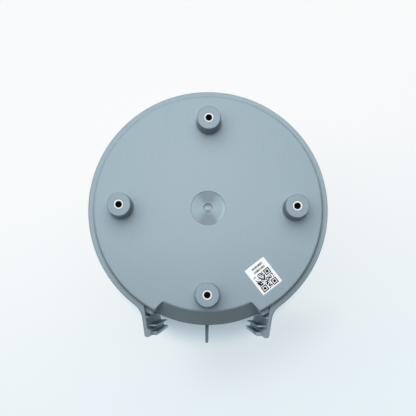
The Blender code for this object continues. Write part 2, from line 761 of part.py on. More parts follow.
def back_plate():
    """Back plate with its stand-offs, facet, skirt, posts, ribs and rear bearing."""
    dish = BODY_DEPTH - DISH_STEP
    floor = BODY_DEPTH - DISH_DEPTH
    dimple = floor - DIMPLE_DEPTH
    edge = PLATE_RADIUS - PLATE_EDGE
    skirt_end = SEAT_Z + FIT
    bearing_bore = BUSH_RADIUS + FIT
    profile = [(0.0, dimple), (DIMPLE_RADIUS - DIMPLE_DEPTH, dimple), (DIMPLE_RADIUS, floor)]
    profile += [(DISH_RADIUS, dish), (DISH_RADIUS, BODY_DEPTH), (edge, BODY_DEPTH)]
    profile += [(PLATE_RADIUS, BODY_DEPTH - PLATE_EDGE), (PLATE_RADIUS, skirt_end)]
    profile += [(SKIRT_BORE, skirt_end), (SKIRT_BORE, PLATE_UNDER)]
    profile += [(BEARING_BOSS_RADIUS, PLATE_UNDER), (BEARING_BOSS_RADIUS, BEARING_BOSS_Z)]
    profile += [(bearing_bore, BEARING_BOSS_Z), (bearing_bore, PLATE_UNDER), (0.0, PLATE_UNDER)]
    plate = turned("back_plate", profile, BODY_SEGMENTS)
    block = ring_sector(FACET_RADIUS * 0.9, MOUTH_RADIUS, FACET_BLOCK_ANGLE, 12)
    block_top = BODY_DEPTH - PLATE_EDGE
    join(plate, extruded("facet_block", [block], skirt_end, block_top))
    cut(plate, facet_cutter(), facet_hollow())
    for name, centre in STANDOFFS.items():
        join(plate, standoff(name, centre))
    for name, centre in POSTS.items():
        join(plate, plate_rib(name, centre), post(name, centre))
    return piece(plate, HOUSING_PLASTIC)


def standoff_inserts():
    """Threaded insert in each stand-off."""
    top = BODY_DEPTH + STANDOFF_HEIGHT - INSERT_BELOW
    bottom = BODY_DEPTH + STANDOFF_HEIGHT - INSERT_LENGTH
    floor = bottom + INSERT_BORE
    for name, centre in STANDOFFS.items():
        insert = turned("insert_" + name, [
            (0.0, floor),
            (INSERT_BORE, floor),
            (INSERT_BORE, top),
            (INSERT_RADIUS, top),
            (INSERT_RADIUS, bottom),
            (0.0, bottom),
        ], SMALL_SEGMENTS, (centre[0], centre[1], 0.0))
        piece(insert, INSERT_METAL)


def pillars():
    """Hexagonal pillars that clamp the chassis and take the case screws."""
    top = CHASSIS_UNDER - FIT
    tapping = CASE_SCREW_RADIUS + FIT
    stud_top = CHASSIS_TOP + PILLAR_STUD_LENGTH
    for name, centre in POSTS.items():
        pillar = cylinder("pillar_" + name, PILLAR_RADIUS, PILLAR_FOOT, top, centre, 6)
        join(pillar, cylinder("stud_" + name, PILLAR_STUD_RADIUS, top - CUT_OVER, stud_top, centre))
        tapped = PILLAR_FOOT + PILLAR_TAPPING
        cut(pillar, cylinder("tapping_" + name, tapping, PILLAR_FOOT - CUT_OVER, tapped, centre))
        piece(pillar, PLATED_STEEL)


def screw(name, centre, seat_z, direction, sizes):
    """Pan-head screw whose head seats at a height, with its shank pointing up (1) or down (-1)."""
    radius, length, head_radius, head_height = sizes
    profile = [(0.0, -head_height), (head_radius * 0.8, -head_height), (head_radius, -head_height * 0.6)]
    profile += [(head_radius, 0.0), (radius, 0.0), (radius, length), (0.0, length)]
    if direction > 0:
        profile.reverse()
    points = [(distance, height * direction) for distance, height in profile]
    return turned(name, points, SMALL_SEGMENTS, (centre[0], centre[1], seat_z))


def cross_recess(body, centre, bottom, top, reach):
    """Cut a cross recess into a screw head between two heights."""
    narrow = reach * 0.3
    for wide, deep in ((reach, narrow), (narrow, reach)):
        low = (centre[0] - wide, centre[1] - deep, bottom)
        high = (centre[0] + wide, centre[1] + deep, top)
        cut(body, box("cross_recess", low, high))
    return body


def case_screws():
    """Screws through the front wall into the pillars."""
    grip = FRONT_WALL + CASE_BOSS_HEIGHT - CASE_RECESS + CASE_SCREW_GRIP
    sizes = (CASE_SCREW_RADIUS, grip, CASE_HEAD_RADIUS, CASE_HEAD_HEIGHT)
    seat = CASE_RECESS - FIT
    recess_top = seat - CASE_HEAD_HEIGHT / 2
    for name, centre in POSTS.items():
        body = screw("case_screw_" + name, centre, seat, 1, sizes)
        piece(cross_recess(body, centre, -CUT_OVER, recess_top, CASE_HEAD_RADIUS * 0.6), PLATED_STEEL)


def chassis_plate():
    """Steel plate that carries the motor, the gear train, the switches and the board."""
    half = CHASSIS_HALF_WIDTH
    corners = [(half, half), (-half, half), (-half, -half), (half, -half)]
    outlines = [rounded([(x, y, CHASSIS_CORNER) for x, y in corners], 4)]
    outlines.append(circle(BUSH_RADIUS + FIT, PIECE_SEGMENTS))
    outlines.append(circle(MOTOR_NOZZLE_RADIUS + FIT, PIECE_SEGMENTS, MOTOR_AXIS))
    outlines.append(circle(GEAR_PIN_RADIUS + FIT, SMALL_SEGMENTS, WHEEL_AXIS))
    small_hole = SMALL_SCREW_RADIUS + FIT
    for centre in (*MOTOR_EARS, *SWITCH_HOLES, *BOARD_SPACER_PLACES):
        outlines.append(circle(small_hole, SMALL_SEGMENTS, centre))
    for centre in POSTS.values():
        outlines.append(circle(PILLAR_STUD_RADIUS + FIT, SMALL_SEGMENTS, centre))
    return piece(extruded("chassis_plate", outlines, CHASSIS_UNDER, CHASSIS_TOP), PLATED_STEEL)


def motor_ear(centre, bearing):
    """One fixing ear of the motor, reaching out of its can."""
    top = CHASSIS_UNDER - FIT - FIT / 2
    root = step_from(MOTOR_AXIS, MOTOR_RADIUS * 0.8, bearing)
    outline = arc(MOTOR_EAR_RADIUS, bearing - math.pi / 2, bearing + math.pi / 2, 6, centre)
    outline.append(step_from(root, MOTOR_EAR_RADIUS, bearing + math.pi / 2))
    outline.append(step_from(root, MOTOR_EAR_RADIUS, bearing - math.pi / 2))
    hole = circle(SMALL_SCREW_RADIUS + FIT, SMALL_SEGMENTS, centre)
    return extruded("motor_ear", [outline, hole], top - MOTOR_EAR_THICKNESS, top)


def motor_can():
    """Synchronous motor: a can with two fixing ears and a bearing nozzle."""
    top = CHASSIS_UNDER - FIT
    bottom = top - MOTOR_HEIGHT
    edge = MOTOR_EAR_THICKNESS
    nozzle_top = CHASSIS_TOP + MOTOR_NOZZLE_HEIGHT
    bore = MOTOR_SHAFT_RADIUS + RUNNING_FIT
    bore_floor = nozzle_top - MOTOR_SHAFT_DEPTH - FIT
    profile = [(0.0, bore_floor), (bore, bore_floor), (bore, nozzle_top), (MOTOR_NOZZLE_RADIUS, nozzle_top)]
    profile += [(MOTOR_NOZZLE_RADIUS, top), (MOTOR_RADIUS, top), (MOTOR_RADIUS, bottom + edge)]
    profile += [(MOTOR_RADIUS - edge, bottom), (0.0, bottom)]
    motor = turned("motor_can", profile, PIECE_SEGMENTS * 3 // 2, (*MOTOR_AXIS, 0.0))
    for centre, bearing in zip(MOTOR_EARS, MOTOR_EAR_BEARINGS):
        join(motor, motor_ear(centre, bearing))
    return piece(motor, PLATED_STEEL)


def small_screws():
    """Screws of the motor, the switches and the board."""
    motor_seat = CHASSIS_UNDER - FIT - MOTOR_EAR_THICKNESS - 2 * FIT
    motor_grip = MOTOR_EAR_THICKNESS + CHASSIS_THICKNESS + FIT
    switch_seat = SWITCH_Z + 2 * SWITCH_PITCH
    switch_grip = 2 * SWITCH_PITCH + CHASSIS_THICKNESS
    board_seat = BOARD_UNDER - FIT
    board_grip = BOARD_THICKNESS + BOARD_SPACER_LENGTH / 3
    fixings = (
        ("motor_screw", MOTOR_EARS, motor_seat, 1, motor_grip),
        ("switch_screw", SWITCH_HOLES, switch_seat, -1, switch_grip),
        ("board_screw", BOARD_SPACER_PLACES, board_seat, 1, board_grip),
    )
    for name, centres, seat, direction, grip in fixings:
        sizes = (SMALL_SCREW_RADIUS, grip, SMALL_HEAD_RADIUS, SMALL_HEAD_HEIGHT)
        for number, centre in enumerate(centres, 1):
            piece(screw("%s_%d" % (name, number), centre, seat, direction, sizes), PLATED_STEEL)


def motor_pinion():
    """Motor shaft with its pinion."""
    top = WHEEL_Z + WHEEL_WIDTH
    towards_wheel = MOTOR_BEARING + math.pi
    phase = towards_wheel + math.pi / PINION_TEETH
    teeth = gear_teeth(PINION_TEETH, phase, range(PINION_TEETH), 2)
    pinion = extruded("motor_pinion", [teeth], WHEEL_Z, top, (*MOTOR_AXIS, 0.0))
    shaft_end = CHASSIS_TOP + MOTOR_NOZZLE_HEIGHT - MOTOR_SHAFT_DEPTH
    shaft = cylinder("motor_shaft", MOTOR_SHAFT_RADIUS, shaft_end, WHEEL_Z + CUT_OVER, MOTOR_AXIS)
    return piece(join(pinion, shaft), BUSH_BRONZE)


def reduction_gear():
    """Reduction gear: a wide wheel with a pinion moulded on top."""
    place_at = (*WHEEL_AXIS, 0.0)
    wheel = gear_teeth(WHEEL_TEETH, MOTOR_BEARING, range(WHEEL_TEETH))
    gear = extruded("reduction_gear", [wheel], WHEEL_Z, WHEEL_Z + WHEEL_WIDTH, place_at)
    towards_sector = WHEEL_BEARING + math.pi
    phase = towards_sector + math.pi / PINION_TEETH
    teeth = gear_teeth(PINION_TEETH, phase, range(PINION_TEETH), 2)
    pinion_top = SECTOR_Z + SECTOR_WIDTH + LEVEL_GAP
    pinion = extruded("wheel_pinion", [teeth], WHEEL_Z + CUT_OVER, pinion_top, place_at)
    bore = GEAR_PIN_RADIUS + RUNNING_FIT
    bottom = WHEEL_Z - CUT_OVER
    bore_cut = cylinder("wheel_bore", bore, bottom, pinion_top + CUT_OVER, WHEEL_AXIS, PIECE_SEGMENTS)
    return piece(cut(join(gear, pinion), bore_cut), GEAR_PLASTIC)


def gear_pin():
    """Fixed pin that the reduction gear turns on, riveted into the chassis."""
    collar_top = WHEEL_Z - FIT
    top = SECTOR_Z + SECTOR_WIDTH + 2 * LEVEL_GAP
    pin = turned("gear_pin", [
        (0.0, top),
        (GEAR_PIN_RADIUS, top),
        (GEAR_PIN_RADIUS, collar_top),
        (GEAR_PIN_COLLAR, collar_top),
        (GEAR_PIN_COLLAR, CHASSIS_TOP + FIT),
        (GEAR_PIN_RADIUS, CHASSIS_TOP + FIT),
        (GEAR_PIN_RADIUS, CHASSIS_UNDER),
        (0.0, CHASSIS_UNDER),
    ], PIECE_SEGMENTS, (*WHEEL_AXIS, 0.0))
    return piece(pin, PLATED_STEEL)


def sector_gear():
    """Toothed sector on the output shaft."""
    numbers = range(-SECTOR_HALF_COUNT, SECTOR_HALF_COUNT + 1)
    teeth = gear_teeth(SECTOR_TEETH, WHEEL_BEARING, numbers)
    half = math.tau * (SECTOR_HALF_COUNT + 0.5) / SECTOR_TEETH
    root = SECTOR_TEETH * MODULE / 2 - DEDENDUM * MODULE
    waist = half + SECTOR_WAIST
    outline = [polar(root, WHEEL_BEARING - half), *teeth, polar(root, WHEEL_BEARING + half)]
    outline += arc(HUB_RADIUS, WHEEL_BEARING + waist, WHEEL_BEARING + math.tau - waist, 16)
    window_inner = HUB_RADIUS + SECTOR_HUB_WALL
    window_outer = root - SECTOR_RIM_WALL
    window = ring_sector(window_inner, window_outer, half * 0.6, 6, WHEEL_BEARING)
    bore = double_d(SHAFT_RADIUS + RUNNING_FIT, SHAFT_FLAT + RUNNING_FIT)
    sector = extruded("sector_gear", [outline, window, bore], SECTOR_Z, SECTOR_Z + SECTOR_WIDTH)
    return piece(sector, GEAR_PLASTIC)


def output_shaft():
    """Output shaft: two journals and a middle with two flats."""
    front_end = CHASSIS_UNDER - BUSH_FLANGE
    shoulder_front = CHASSIS_TOP + FIT + BUSH_FLANGE + FIT
    shoulder_rear = BEARING_BOSS_Z - FIT - BUSH_FLANGE - FIT
    rear_end = PLATE_UNDER - FIT
    shaft = turned("output_shaft", [
        (0.0, rear_end),
        (JOURNAL_RADIUS, rear_end),
        (JOURNAL_RADIUS, shoulder_rear),
        (SHAFT_RADIUS, shoulder_rear),
        (SHAFT_RADIUS, shoulder_front),
        (JOURNAL_RADIUS, shoulder_front),
        (JOURNAL_RADIUS, front_end),
        (0.0, front_end),
    ])
    for side in (-1, 1):
        near = sorted((side * SHAFT_FLAT, side * 2 * SHAFT_RADIUS))
        low = (near[0], -SHAFT_RADIUS, shoulder_front - CUT_OVER)
        high = (near[1], SHAFT_RADIUS, shoulder_rear + CUT_OVER)
        cut(shaft, box("shaft_flat", low, high))
    return piece(shaft, PLATED_STEEL)


def shaft_bushes():
    """Flanged bushes in the chassis and in the back plate."""
    bore = JOURNAL_RADIUS + RUNNING_FIT
    flange_low = CHASSIS_TOP + FIT
    front = turned("front_bush", [
        (BUSH_FLANGE_RADIUS, flange_low + BUSH_FLANGE),
        (BUSH_FLANGE_RADIUS, flange_low),
        (BUSH_RADIUS, flange_low),
        (BUSH_RADIUS, CHASSIS_UNDER - BUSH_FLANGE),
        (bore, CHASSIS_UNDER - BUSH_FLANGE),
        (bore, flange_low + BUSH_FLANGE),
    ], closed=True)
    piece(front, BUSH_BRONZE)
    flange_high = BEARING_BOSS_Z - FIT
    rear = turned("rear_bush", [
        (BUSH_RADIUS, PLATE_UNDER - FIT),
        (BUSH_RADIUS, flange_high),
        (BUSH_FLANGE_RADIUS, flange_high),
        (BUSH_FLANGE_RADIUS, flange_high - BUSH_FLANGE),
        (bore, flange_high - BUSH_FLANGE),
        (bore, PLATE_UNDER - FIT),
    ], closed=True)
    piece(rear, BUSH_BRONZE)


def output_lever():
    """Output lever: a hub, a deepening arm, a curved dust shield and the thin blade in the mouth."""
    hub_top = LEVER_HUB_Z + LEVER_HUB_HEIGHT
    lever = cylinder("output_lever", HUB_RADIUS, LEVER_HUB_Z, hub_top, segments=PIECE_SEGMENTS)
    lever.data.transform(lever.matrix_basis)
    lever.location = (0.0, 0.0, 0.0)
    shield_inner = SHIELD_RADIUS - SHIELD_WALL
    arm_end = SHIELD_RADIUS - SHIELD_WALL / 2
    arm_outline = [
        (0.0, hub_top),
        (0.0, LEVER_HUB_Z),
        (-arm_end * 0.55, LEVER_HUB_Z - LEVER_HUB_HEIGHT * 0.3),
        (-arm_end, BLADE_BOTTOM),
        (-arm_end, BLADE_TOP),
    ]
    arm = extruded("lever_arm", [arm_outline], -LEVER_ARM_WIDTH / 2, LEVER_ARM_WIDTH / 2)
    arm.rotation_euler = (math.pi / 2, 0.0, math.pi / 2)
    shield_low = NOTCH_BOTTOM - SHIELD_LAP
    shield_outline = ring_sector(shield_inner, SHIELD_RADIUS, SHIELD_HALF_ANGLE, 20)
    shield = extruded("lever_shield", [shield_outline], shield_low, BLADE_TOP + SHIELD_LAP / 2)
    tip_radius = LEVER_TIP_WIDTH / 2
    blade_outline = [(-LEVER_ROOT_WIDTH / 2, -shield_inner), (LEVER_ROOT_WIDTH / 2, -shield_inner)]
    blade_outline += arc(tip_radius, 0.0, -math.pi, 6, (0.0, -LEVER_TIP + tip_radius))
    blade = extruded("lever_blade", [blade_outline], BLADE_BOTTOM, BLADE_TOP)
    bore_outline = double_d(SHAFT_RADIUS + RUNNING_FIT, SHAFT_FLAT + RUNNING_FIT)
    bore = extruded("lever_bore", [bore_outline], LEVER_HUB_Z - CUT_OVER, hub_top + CUT_OVER)
    return piece(cut(join(lever, arm, shield, blade), bore), HOUSING_PLASTIC)


def limit_cams():
    """Limit cams on the shaft, one for each end of the swing."""
    for index, (name, side) in enumerate((("open_cam", -1), ("close_cam", 1))):
        middle = SWITCH_Z + index * SWITCH_PITCH + SWITCH_THICKNESS / 2
        lobe = side * LEVER_SWING
        outline = arc(CAM_RADIUS + CAM_LOBE, lobe - CAM_LOBE_HALF_ANGLE, lobe + CAM_LOBE_HALF_ANGLE, 4)
        ramp = 2 * CAM_LOBE_HALF_ANGLE
        outline += arc(CAM_RADIUS, lobe + ramp, lobe + math.tau - ramp, 16)
        bore = double_d(SHAFT_RADIUS + RUNNING_FIT, SHAFT_FLAT + RUNNING_FIT)
        low = middle - CAM_THICKNESS / 2
        piece(extruded(name, [outline, bore], low, low + CAM_THICKNESS), GEAR_PLASTIC)


def limit_switches():
    """Two stacked limit switches, each with a sprung plunger that points at its cam."""
    hole = SMALL_SCREW_RADIUS + FIT
    for index, name in enumerate(("open", "close")):
        low = SWITCH_Z + index * SWITCH_PITCH
        middle = low + SWITCH_THICKNESS / 2
        far = SWITCH_FACE + SWITCH_WIDTH
        body = box(
            name + "_switch",
            (SWITCH_FACE, -SWITCH_LENGTH / 2, low),
            (far, SWITCH_LENGTH / 2, low + SWITCH_THICKNESS),
        )
        for centre in SWITCH_HOLES:
            cut(body, cylinder("switch_hole", hole, low - CUT_OVER, middle + SWITCH_THICKNESS, centre))
        half = PLUNGER_WIDTH / 2
        inner_end = SWITCH_FACE - PLUNGER_OUT + PLUNGER_LENGTH
        room = box(
            name + "_plunger_room",
            (SWITCH_FACE - CUT_OVER, -half - FIT, middle - half - FIT),
            (inner_end + PLUNGER_TRAVEL + FIT, half + FIT, middle + half + FIT),
        )
        piece(cut(body, room), DARK_PLASTIC)
        plunger = box(
            name + "_plunger",
            (SWITCH_FACE - PLUNGER_OUT, -half, middle - half),
            (inner_end, half, middle + half),
        )
        rounding = plunger.modifiers.new("rounding", "BEVEL")
        rounding.width = half * 0.4
        piece(plunger, TERMINAL_PLASTIC)


def circuit_board():
    """Drive board with its spacers, terminal block, relay and run capacitor."""
    low, high = BOARD_LOW, BOARD_HIGH
    corner = BOARD_SPACER_RADIUS / 2
    corners = [(high[0], high[1]), (low[0], high[1]), (low[0], low[1]), (high[0], low[1])]
    outlines = [rounded([(x, y, corner) for x, y in corners], 3)]
    for centre in BOARD_SPACER_PLACES:
        outlines.append(circle(SMALL_SCREW_RADIUS + FIT, SMALL_SEGMENTS, centre))
    piece(extruded("circuit_board", outlines, BOARD_UNDER, BOARD_TOP), BOARD_LAMINATE)
    for number, centre in enumerate(BOARD_SPACER_PLACES, 1):
        bottom = BOARD_TOP + FIT
        top = bottom + BOARD_SPACER_LENGTH - FIT
        spacer = cylinder("board_spacer_%d" % number, BOARD_SPACER_RADIUS, bottom, top, centre, 6)
        stud_top = CHASSIS_TOP + FIT
        join(spacer, cylinder("spacer_stud", SMALL_SCREW_RADIUS, top - CUT_OVER, stud_top, centre))
        tapped = bottom + BOARD_SPACER_LENGTH / 2
        tapping = SMALL_SCREW_RADIUS + FIT
        cut(spacer, cylinder("spacer_tapping", tapping, bottom - CUT_OVER, tapped, centre))
        piece(spacer, PLATED_STEEL)


def terminal_block():
    """Terminal block for the cable, with a wire entry and a clamp screw well for each pole."""
    width, depth, height = TERMINAL_SIZE
    centre_x, centre_y = TERMINAL_CENTRE
    top = BOARD_UNDER - FIT
    block = box(
        "terminal_block",
        (centre_x - width / 2, centre_y - depth / 2, top - height),
        (centre_x + width / 2, centre_y + depth / 2, top),
    )
    half = TERMINAL_WIRE_HOLE / 2
    for pole in range(TERMINAL_POLES):
        pole_x = centre_x + ((pole + 0.5) / TERMINAL_POLES - 0.5) * width
        entry_z = top - height * 0.35
        entry = box(
            "wire_entry",
            (pole_x - half, centre_y - depth, entry_z - half),
            (pole_x + half, centre_y - depth * 0.1, entry_z + half),
        )
        well_top = top - height * 0.75
        well = cylinder(
            "screw_well", TERMINAL_SCREW_RADIUS, top - height - CUT_OVER, well_top, (pole_x, centre_y), 8
        )
        cut(block, entry, well)
    return piece(block, TERMINAL_PLASTIC)


def board_parts():
    """Relay and run capacitor on the board."""
    top = BOARD_UNDER - FIT
    width, depth, height = RELAY_SIZE
    relay = box(
        "relay",
        (RELAY_CENTRE[0] - width / 2, RELAY_CENTRE[1] - depth / 2, top - height),
        (RELAY_CENTRE[0] + width / 2, RELAY_CENTRE[1] + depth / 2, top),
    )
    rounding = relay.modifiers.new("rounding", "BEVEL")
    rounding.width = RELAY_EDGE
    piece(relay, DARK_PLASTIC)
    radius = CAPACITOR_RADIUS
    neck = top - radius * 0.6
    end = top - CAPACITOR_LENGTH
    capacitor = turned("capacitor", [
        (0.0, top),
        (radius, top),
        (radius, neck + radius * 0.15),
        (radius * 0.88, neck),
        (radius, neck - radius * 0.15),
        (radius, end + radius * 0.15),
        (radius * 0.85, end),
        (0.0, end),
    ], PIECE_SEGMENTS, (*CAPACITOR_CENTRE, 0.0))
    piece(capacitor, DARK_PLASTIC)


def cable_grommet():
    """Blind rubber grommet in the cable inlet of the mouth wall."""
    groove = GROMMET_HOLE_RADIUS - FIT
    lip = GROMMET_HOLE_RADIUS + GROMMET_LIP
    bow = MOUTH_RADIUS - math.sqrt(MOUTH_RADIUS ** 2 - lip ** 2)
    half_groove = MOUTH_WALL / 2 + bow + FIT
    outer = half_groove + GROMMET_LIP_WALL
    bore = groove - GROMMET_LIP_WALL
    grommet = turned("cable_grommet", [
        (0.0, GROMMET_MEMBRANE / 2),
        (bore, GROMMET_MEMBRANE / 2),
        (bore, outer),
        (lip, outer),
        (lip, half_groove),
        (groove, half_groove),
        (groove, -half_groove),
        (lip, -half_groove),
        (lip, -outer),
        (bore, -outer),
        (bore, -GROMMET_MEMBRANE / 2),
        (0.0, -GROMMET_MEMBRANE / 2),
    ])
    grommet.rotation_euler.x = math.pi / 2
    grommet.location = (0.0, -SHELL_BORE - MOUTH_WALL / 2, GROMMET_HEIGHT)
    return piece(grommet, INLET_RUBBER)


def actuator_head():
    """Make every piece of the head."""
    front_shell()
    back_plate()
    standoff_inserts()
    pillars()
    case_screws()
    chassis_plate()
    motor_can()
    small_screws()
    motor_pinion()
    reduction_gear()
    gear_pin()
    sector_gear()
    output_shaft()
    shaft_bushes()
    output_lever()
    limit_cams()
    limit_switches()
    circuit_board()
    terminal_block()
    board_parts()
    cable_grommet()


actuator_head()
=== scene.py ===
"""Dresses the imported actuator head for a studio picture.

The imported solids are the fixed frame. The outer pieces are modelled again in full detail, the drive
inside keeps its solids, and every piece gets a procedural finish. All sizes are in metres.
"""

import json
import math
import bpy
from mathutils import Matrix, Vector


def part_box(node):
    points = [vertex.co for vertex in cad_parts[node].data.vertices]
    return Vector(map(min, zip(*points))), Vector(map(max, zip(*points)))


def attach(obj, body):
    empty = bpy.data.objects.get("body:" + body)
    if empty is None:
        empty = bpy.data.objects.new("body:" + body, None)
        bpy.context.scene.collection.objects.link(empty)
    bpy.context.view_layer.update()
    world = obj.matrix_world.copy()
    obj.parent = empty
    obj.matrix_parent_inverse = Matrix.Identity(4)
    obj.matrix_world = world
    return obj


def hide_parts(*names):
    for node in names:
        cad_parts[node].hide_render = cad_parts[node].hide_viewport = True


bl_info = {
    "name": "Actuator Head",
    "version": (1, 0, 0),
    "blender": (4, 5, 0),
    "location": "3D View > Sidebar > Actuator Head",
    "description": "Models and finishes the outer pieces of a drum-shaped actuator head",
    "category": "Add Mesh",
}

import bmesh
import bpy
from bpy.props import FloatProperty, FloatVectorProperty, IntProperty, PointerProperty
from mathutils import Matrix, Vector

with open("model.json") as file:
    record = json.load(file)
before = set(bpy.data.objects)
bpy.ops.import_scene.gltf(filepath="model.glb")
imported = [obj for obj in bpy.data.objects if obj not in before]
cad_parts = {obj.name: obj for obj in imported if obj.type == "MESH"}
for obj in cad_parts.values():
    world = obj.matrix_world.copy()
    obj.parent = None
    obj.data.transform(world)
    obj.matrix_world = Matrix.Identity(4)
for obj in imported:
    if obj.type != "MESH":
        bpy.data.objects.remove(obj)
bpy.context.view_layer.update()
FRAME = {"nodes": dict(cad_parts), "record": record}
SHELL_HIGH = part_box("front_shell")[1]
BLADE_REACH = -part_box("output_lever")[0].y

FIT = 0.0003
CUT_OVER = 0.0010
MERGE = 0.000001
DOWN = -math.pi / 2
SMOOTH_ANGLE = math.radians(32.0)

# Drum
DRAFT = 0.0020
SHELL_WALL = 0.0048
FRONT_WALL = 0.0030
FRONT_EDGE = 0.0040
FLOOR_FILLET = 0.0020
RIM_STEP = 0.0035
RIM_WIDTH = 0.0033
RIM_ROUND = 0.0007
SEAT_DEPTH = 0.0165
SEAT_EDGE = 0.0003
SEAT_CHAMFER = 0.0001

# Mouth and ears
MOUTH_WALL = 0.0020
MOUTH_HALF_ANGLE = math.radians(33.2)
MOUTH_FRONT = 0.0080
GUSSET_HALF_ANGLE = math.radians(28.5)
WEB_END_ANGLE = math.radians(27.8)
WEB_INSET = 0.0004
WEB_WALL = 0.0027
WEB_DROP = 0.0050
LOW_WEB_HEIGHT = 0.0116
LOW_WEB_REACH = 0.0012
LOW_WEB_DROP = 0.0040
LOW_WEB_WALL = 0.0013
LEDGE_HALF_ANGLE = math.radians(25.5)
LEDGE_HEIGHT = 0.0014
LEDGE_DROP = 0.0170
EAR_HALF_SPREAD = 0.0381
EAR_DROP = 0.0047
EAR_LEAN = math.radians(9.1)
EAR_WALL = 0.0021
EAR_FILLET = 0.0125
EAR_FRONT = 0.0060
EAR_EDGE = 0.0003
FOOT_WIDTH = 0.0036
FOOT_HEIGHT = 0.0040
FOOT_SLOPE = 0.0014
FOOT_ROUND = 0.0016
RAIL_WIDTH = 0.0032
RAIL_HEIGHT = 0.0024
RAIL_DROP = 0.0170
RIB_WIDTH = 0.0024
RIB_HEIGHT = 0.0013
RIB_ABOVE_RAIL = 0.0030

# Back plate
PLATE_THICKNESS = 0.0030
PLATE_EDGE = 0.0015
SKIRT_WALL = 0.0028
DISH_STEP = 0.00025
DISH_DEPTH = 0.0009
DIMPLE_RADIUS = 0.0030
DIMPLE_DEPTH = 0.0005
NIB_RADIUS = 0.0008
NIB_HEIGHT = 0.0004
FACET_RADIUS = 0.0636
FACET_HALF_WIDTH = 0.0272
FACET_DEPTH = 0.0120
FACET_WALL = 0.0030
FACET_EDGE = 0.0016
FACET_LIP = 0.0030
FACET_CORNER = 0.0030
FACET_END_DRAFT = 0.0016
ROUND_OVER = 0.00002
PLATE_GAP = 0.0001
FACET_BLOCK_ANGLE = math.radians(27.0)
FACET_HOLLOW_ANGLE = math.radians(22.0)
PLATE_RIB_WIDTH = 0.0020
PLATE_RIB_HEIGHT = 0.0055
BEARING_BORE = 0.0073
BEARING_BOSS_RADIUS = 0.0098
BEARING_BOSS_DEPTH = 0.0085
POST_CIRCLE = 0.0570
POST_RADIUS = 0.0050
POST_END = 0.0943
POST_ROOM_RADIUS = 0.0022
POST_ROOM = 0.0110

# Stand-offs and inserts
STANDOFF_DRAFT = 0.0001
STANDOFF_FILLET = 0.0015
STANDOFF_EDGE = 0.0006
INSERT_FIT = 0.00005
INSERT_LENGTH = 0.0100
INSERT_BELOW = 0.0001
INSERT_CHAMFER = 0.00018
THREAD_PITCH = 0.0007
THREAD_DEPTH = 0.00035

# Case screws
CASE_BOSS_RADIUS = 0.0070
CASE_BOSS_HEIGHT = 0.0060
CASE_SCREW_RADIUS = 0.0019
CASE_SCREW_LENGTH = 0.0135
CASE_HEAD_RADIUS = 0.0038
CASE_HEAD_HEIGHT = 0.0026
CASE_RECESS = 0.0045

# Lever
HUB_RADIUS = 0.0090
HUB_BORE = 0.00515
HUB_FLAT = 0.00415
HUB_BOTTOM = 0.1207
HUB_HEIGHT = 0.0160
ARM_WIDTH = 0.0040
BLADE_ROOT = 0.0024
BLADE_TIP = 0.0019
BLADE_TOP = 0.1280
BLADE_DEPTH = 0.0280
BLADE_EDGE = 0.0002
LEVER_SWING = math.radians(20.0)
NOTCH_MARGIN = 0.0022
NOTCH_DROP = 0.0020
SHIELD_WALL = 0.0016
SHIELD_LAP = 0.0022

# Cable inlet
GROMMET_HEIGHT = 0.0280
GROMMET_HOLE_RADIUS = 0.0070
GROMMET_LIP = 0.0020
GROMMET_LIP_WALL = 0.0007
GROMMET_MEMBRANE = 0.0010
GROMMET_NIPPLE = (0.0010, 0.0014)
GROMMET_RING = (0.0030, 0.0033, 0.0036)
INLET_CUT = 0.0035

# Sticker, with the squares of its pattern measured in cells
LABEL_THICKNESS = 0.00012
LABEL_CORNER = 0.0007
CODE_MODULE = 0.000537
CODE_MODULES = 21
CODE_CENTRE = (0.0028, -0.0001)
CODE_SEED = 7.0
CLUSTER_SEED = 9.0
CODE_LEVEL = 0.46
SQUARE_MIDDLE = 3.5
SQUARE_CORE = 1.6
SQUARE_RING = (2.4, 3.6)
SQUARE_CLEAR = 4.5
PRINT_ROWS = (-0.0070, -0.0046)
PRINT_ROW_HEIGHT = 0.0013
PRINT_ROW_LENGTH = 0.0080
PRINT_ROW_MIDDLE = 0.0005
PRINT_BLOCK = 0.00045
PRINT_FIRST_CELL = 20.0
PRINT_SEED = 3.0
PRINT_LEAST = 0.45
STROKE_LEAST = 0.70
STROKE_HALF = 0.10

# Marks on the housing. A pair is where a mark starts to show and where it shows in full.
FACE = SHELL_HIGH.z + RIM_STEP
RIM_TOP = (SHELL_HIGH.z - 0.0012, SHELL_HIGH.z - 0.0004)
RIM_LEFT = (0.060, -0.010)
RIM_SHADE_LOWER = (0.015, 0.062)
ON_FACE = (FACE - 0.0030, FACE - 0.0020)
FACE_SHADE_LOWER = (-0.010, -0.062)
ON_STANDOFF = (FACE + 0.0003, FACE + 0.0012)
STANDOFF_TOP = (FACE + 0.0138, FACE + 0.0144)
IN_DISH = (0.01085, 0.01075)
DISH_MIDDLE_AREA = 0.0000002
CRESCENT_BAND = (0.0084, 0.0100)
CRESCENT_SIDE = (0.0070, 0.0100)
COLLAR_RADIUS = 0.0036
COLLAR_LINE = (0.00050, 0.00015)
OUTLINE_RADIUS = 0.0107
OUTLINE_LINE = (0.00030, 0.00012)
DIMPLE_LINE_RADIUS = 0.0028
DIMPLE_LINE = (0.00055, 0.00020)
DIMPLE_SHADE_UPPER = (-0.0010, 0.0022)
NIB_HIGHLIGHT = (0.0011, 0.0006)
EDGE_SHADE_BAND = (0.0700, 0.0712)
EDGE_SHADE_LOWER = (-0.030, 0.050)
BELOW_FACE = (FACE - 0.0004, FACE - 0.0012)
FACET_START = (-0.050, -0.054)
FACET_END = (0.0725, 0.0724)
LIP_SHADE_BAND = (0.0716, 0.0720)
LOWER_SLANT = 0.15
CRESCENT_SLANT = 0.3
STREAK_TURN = math.radians(84.0)
STREAK_SIZE = (0.0070, 0.0011, 0.0200)
TURNED_LINES = 2600.0
SIDE_SHADE_SHARE = 0.7

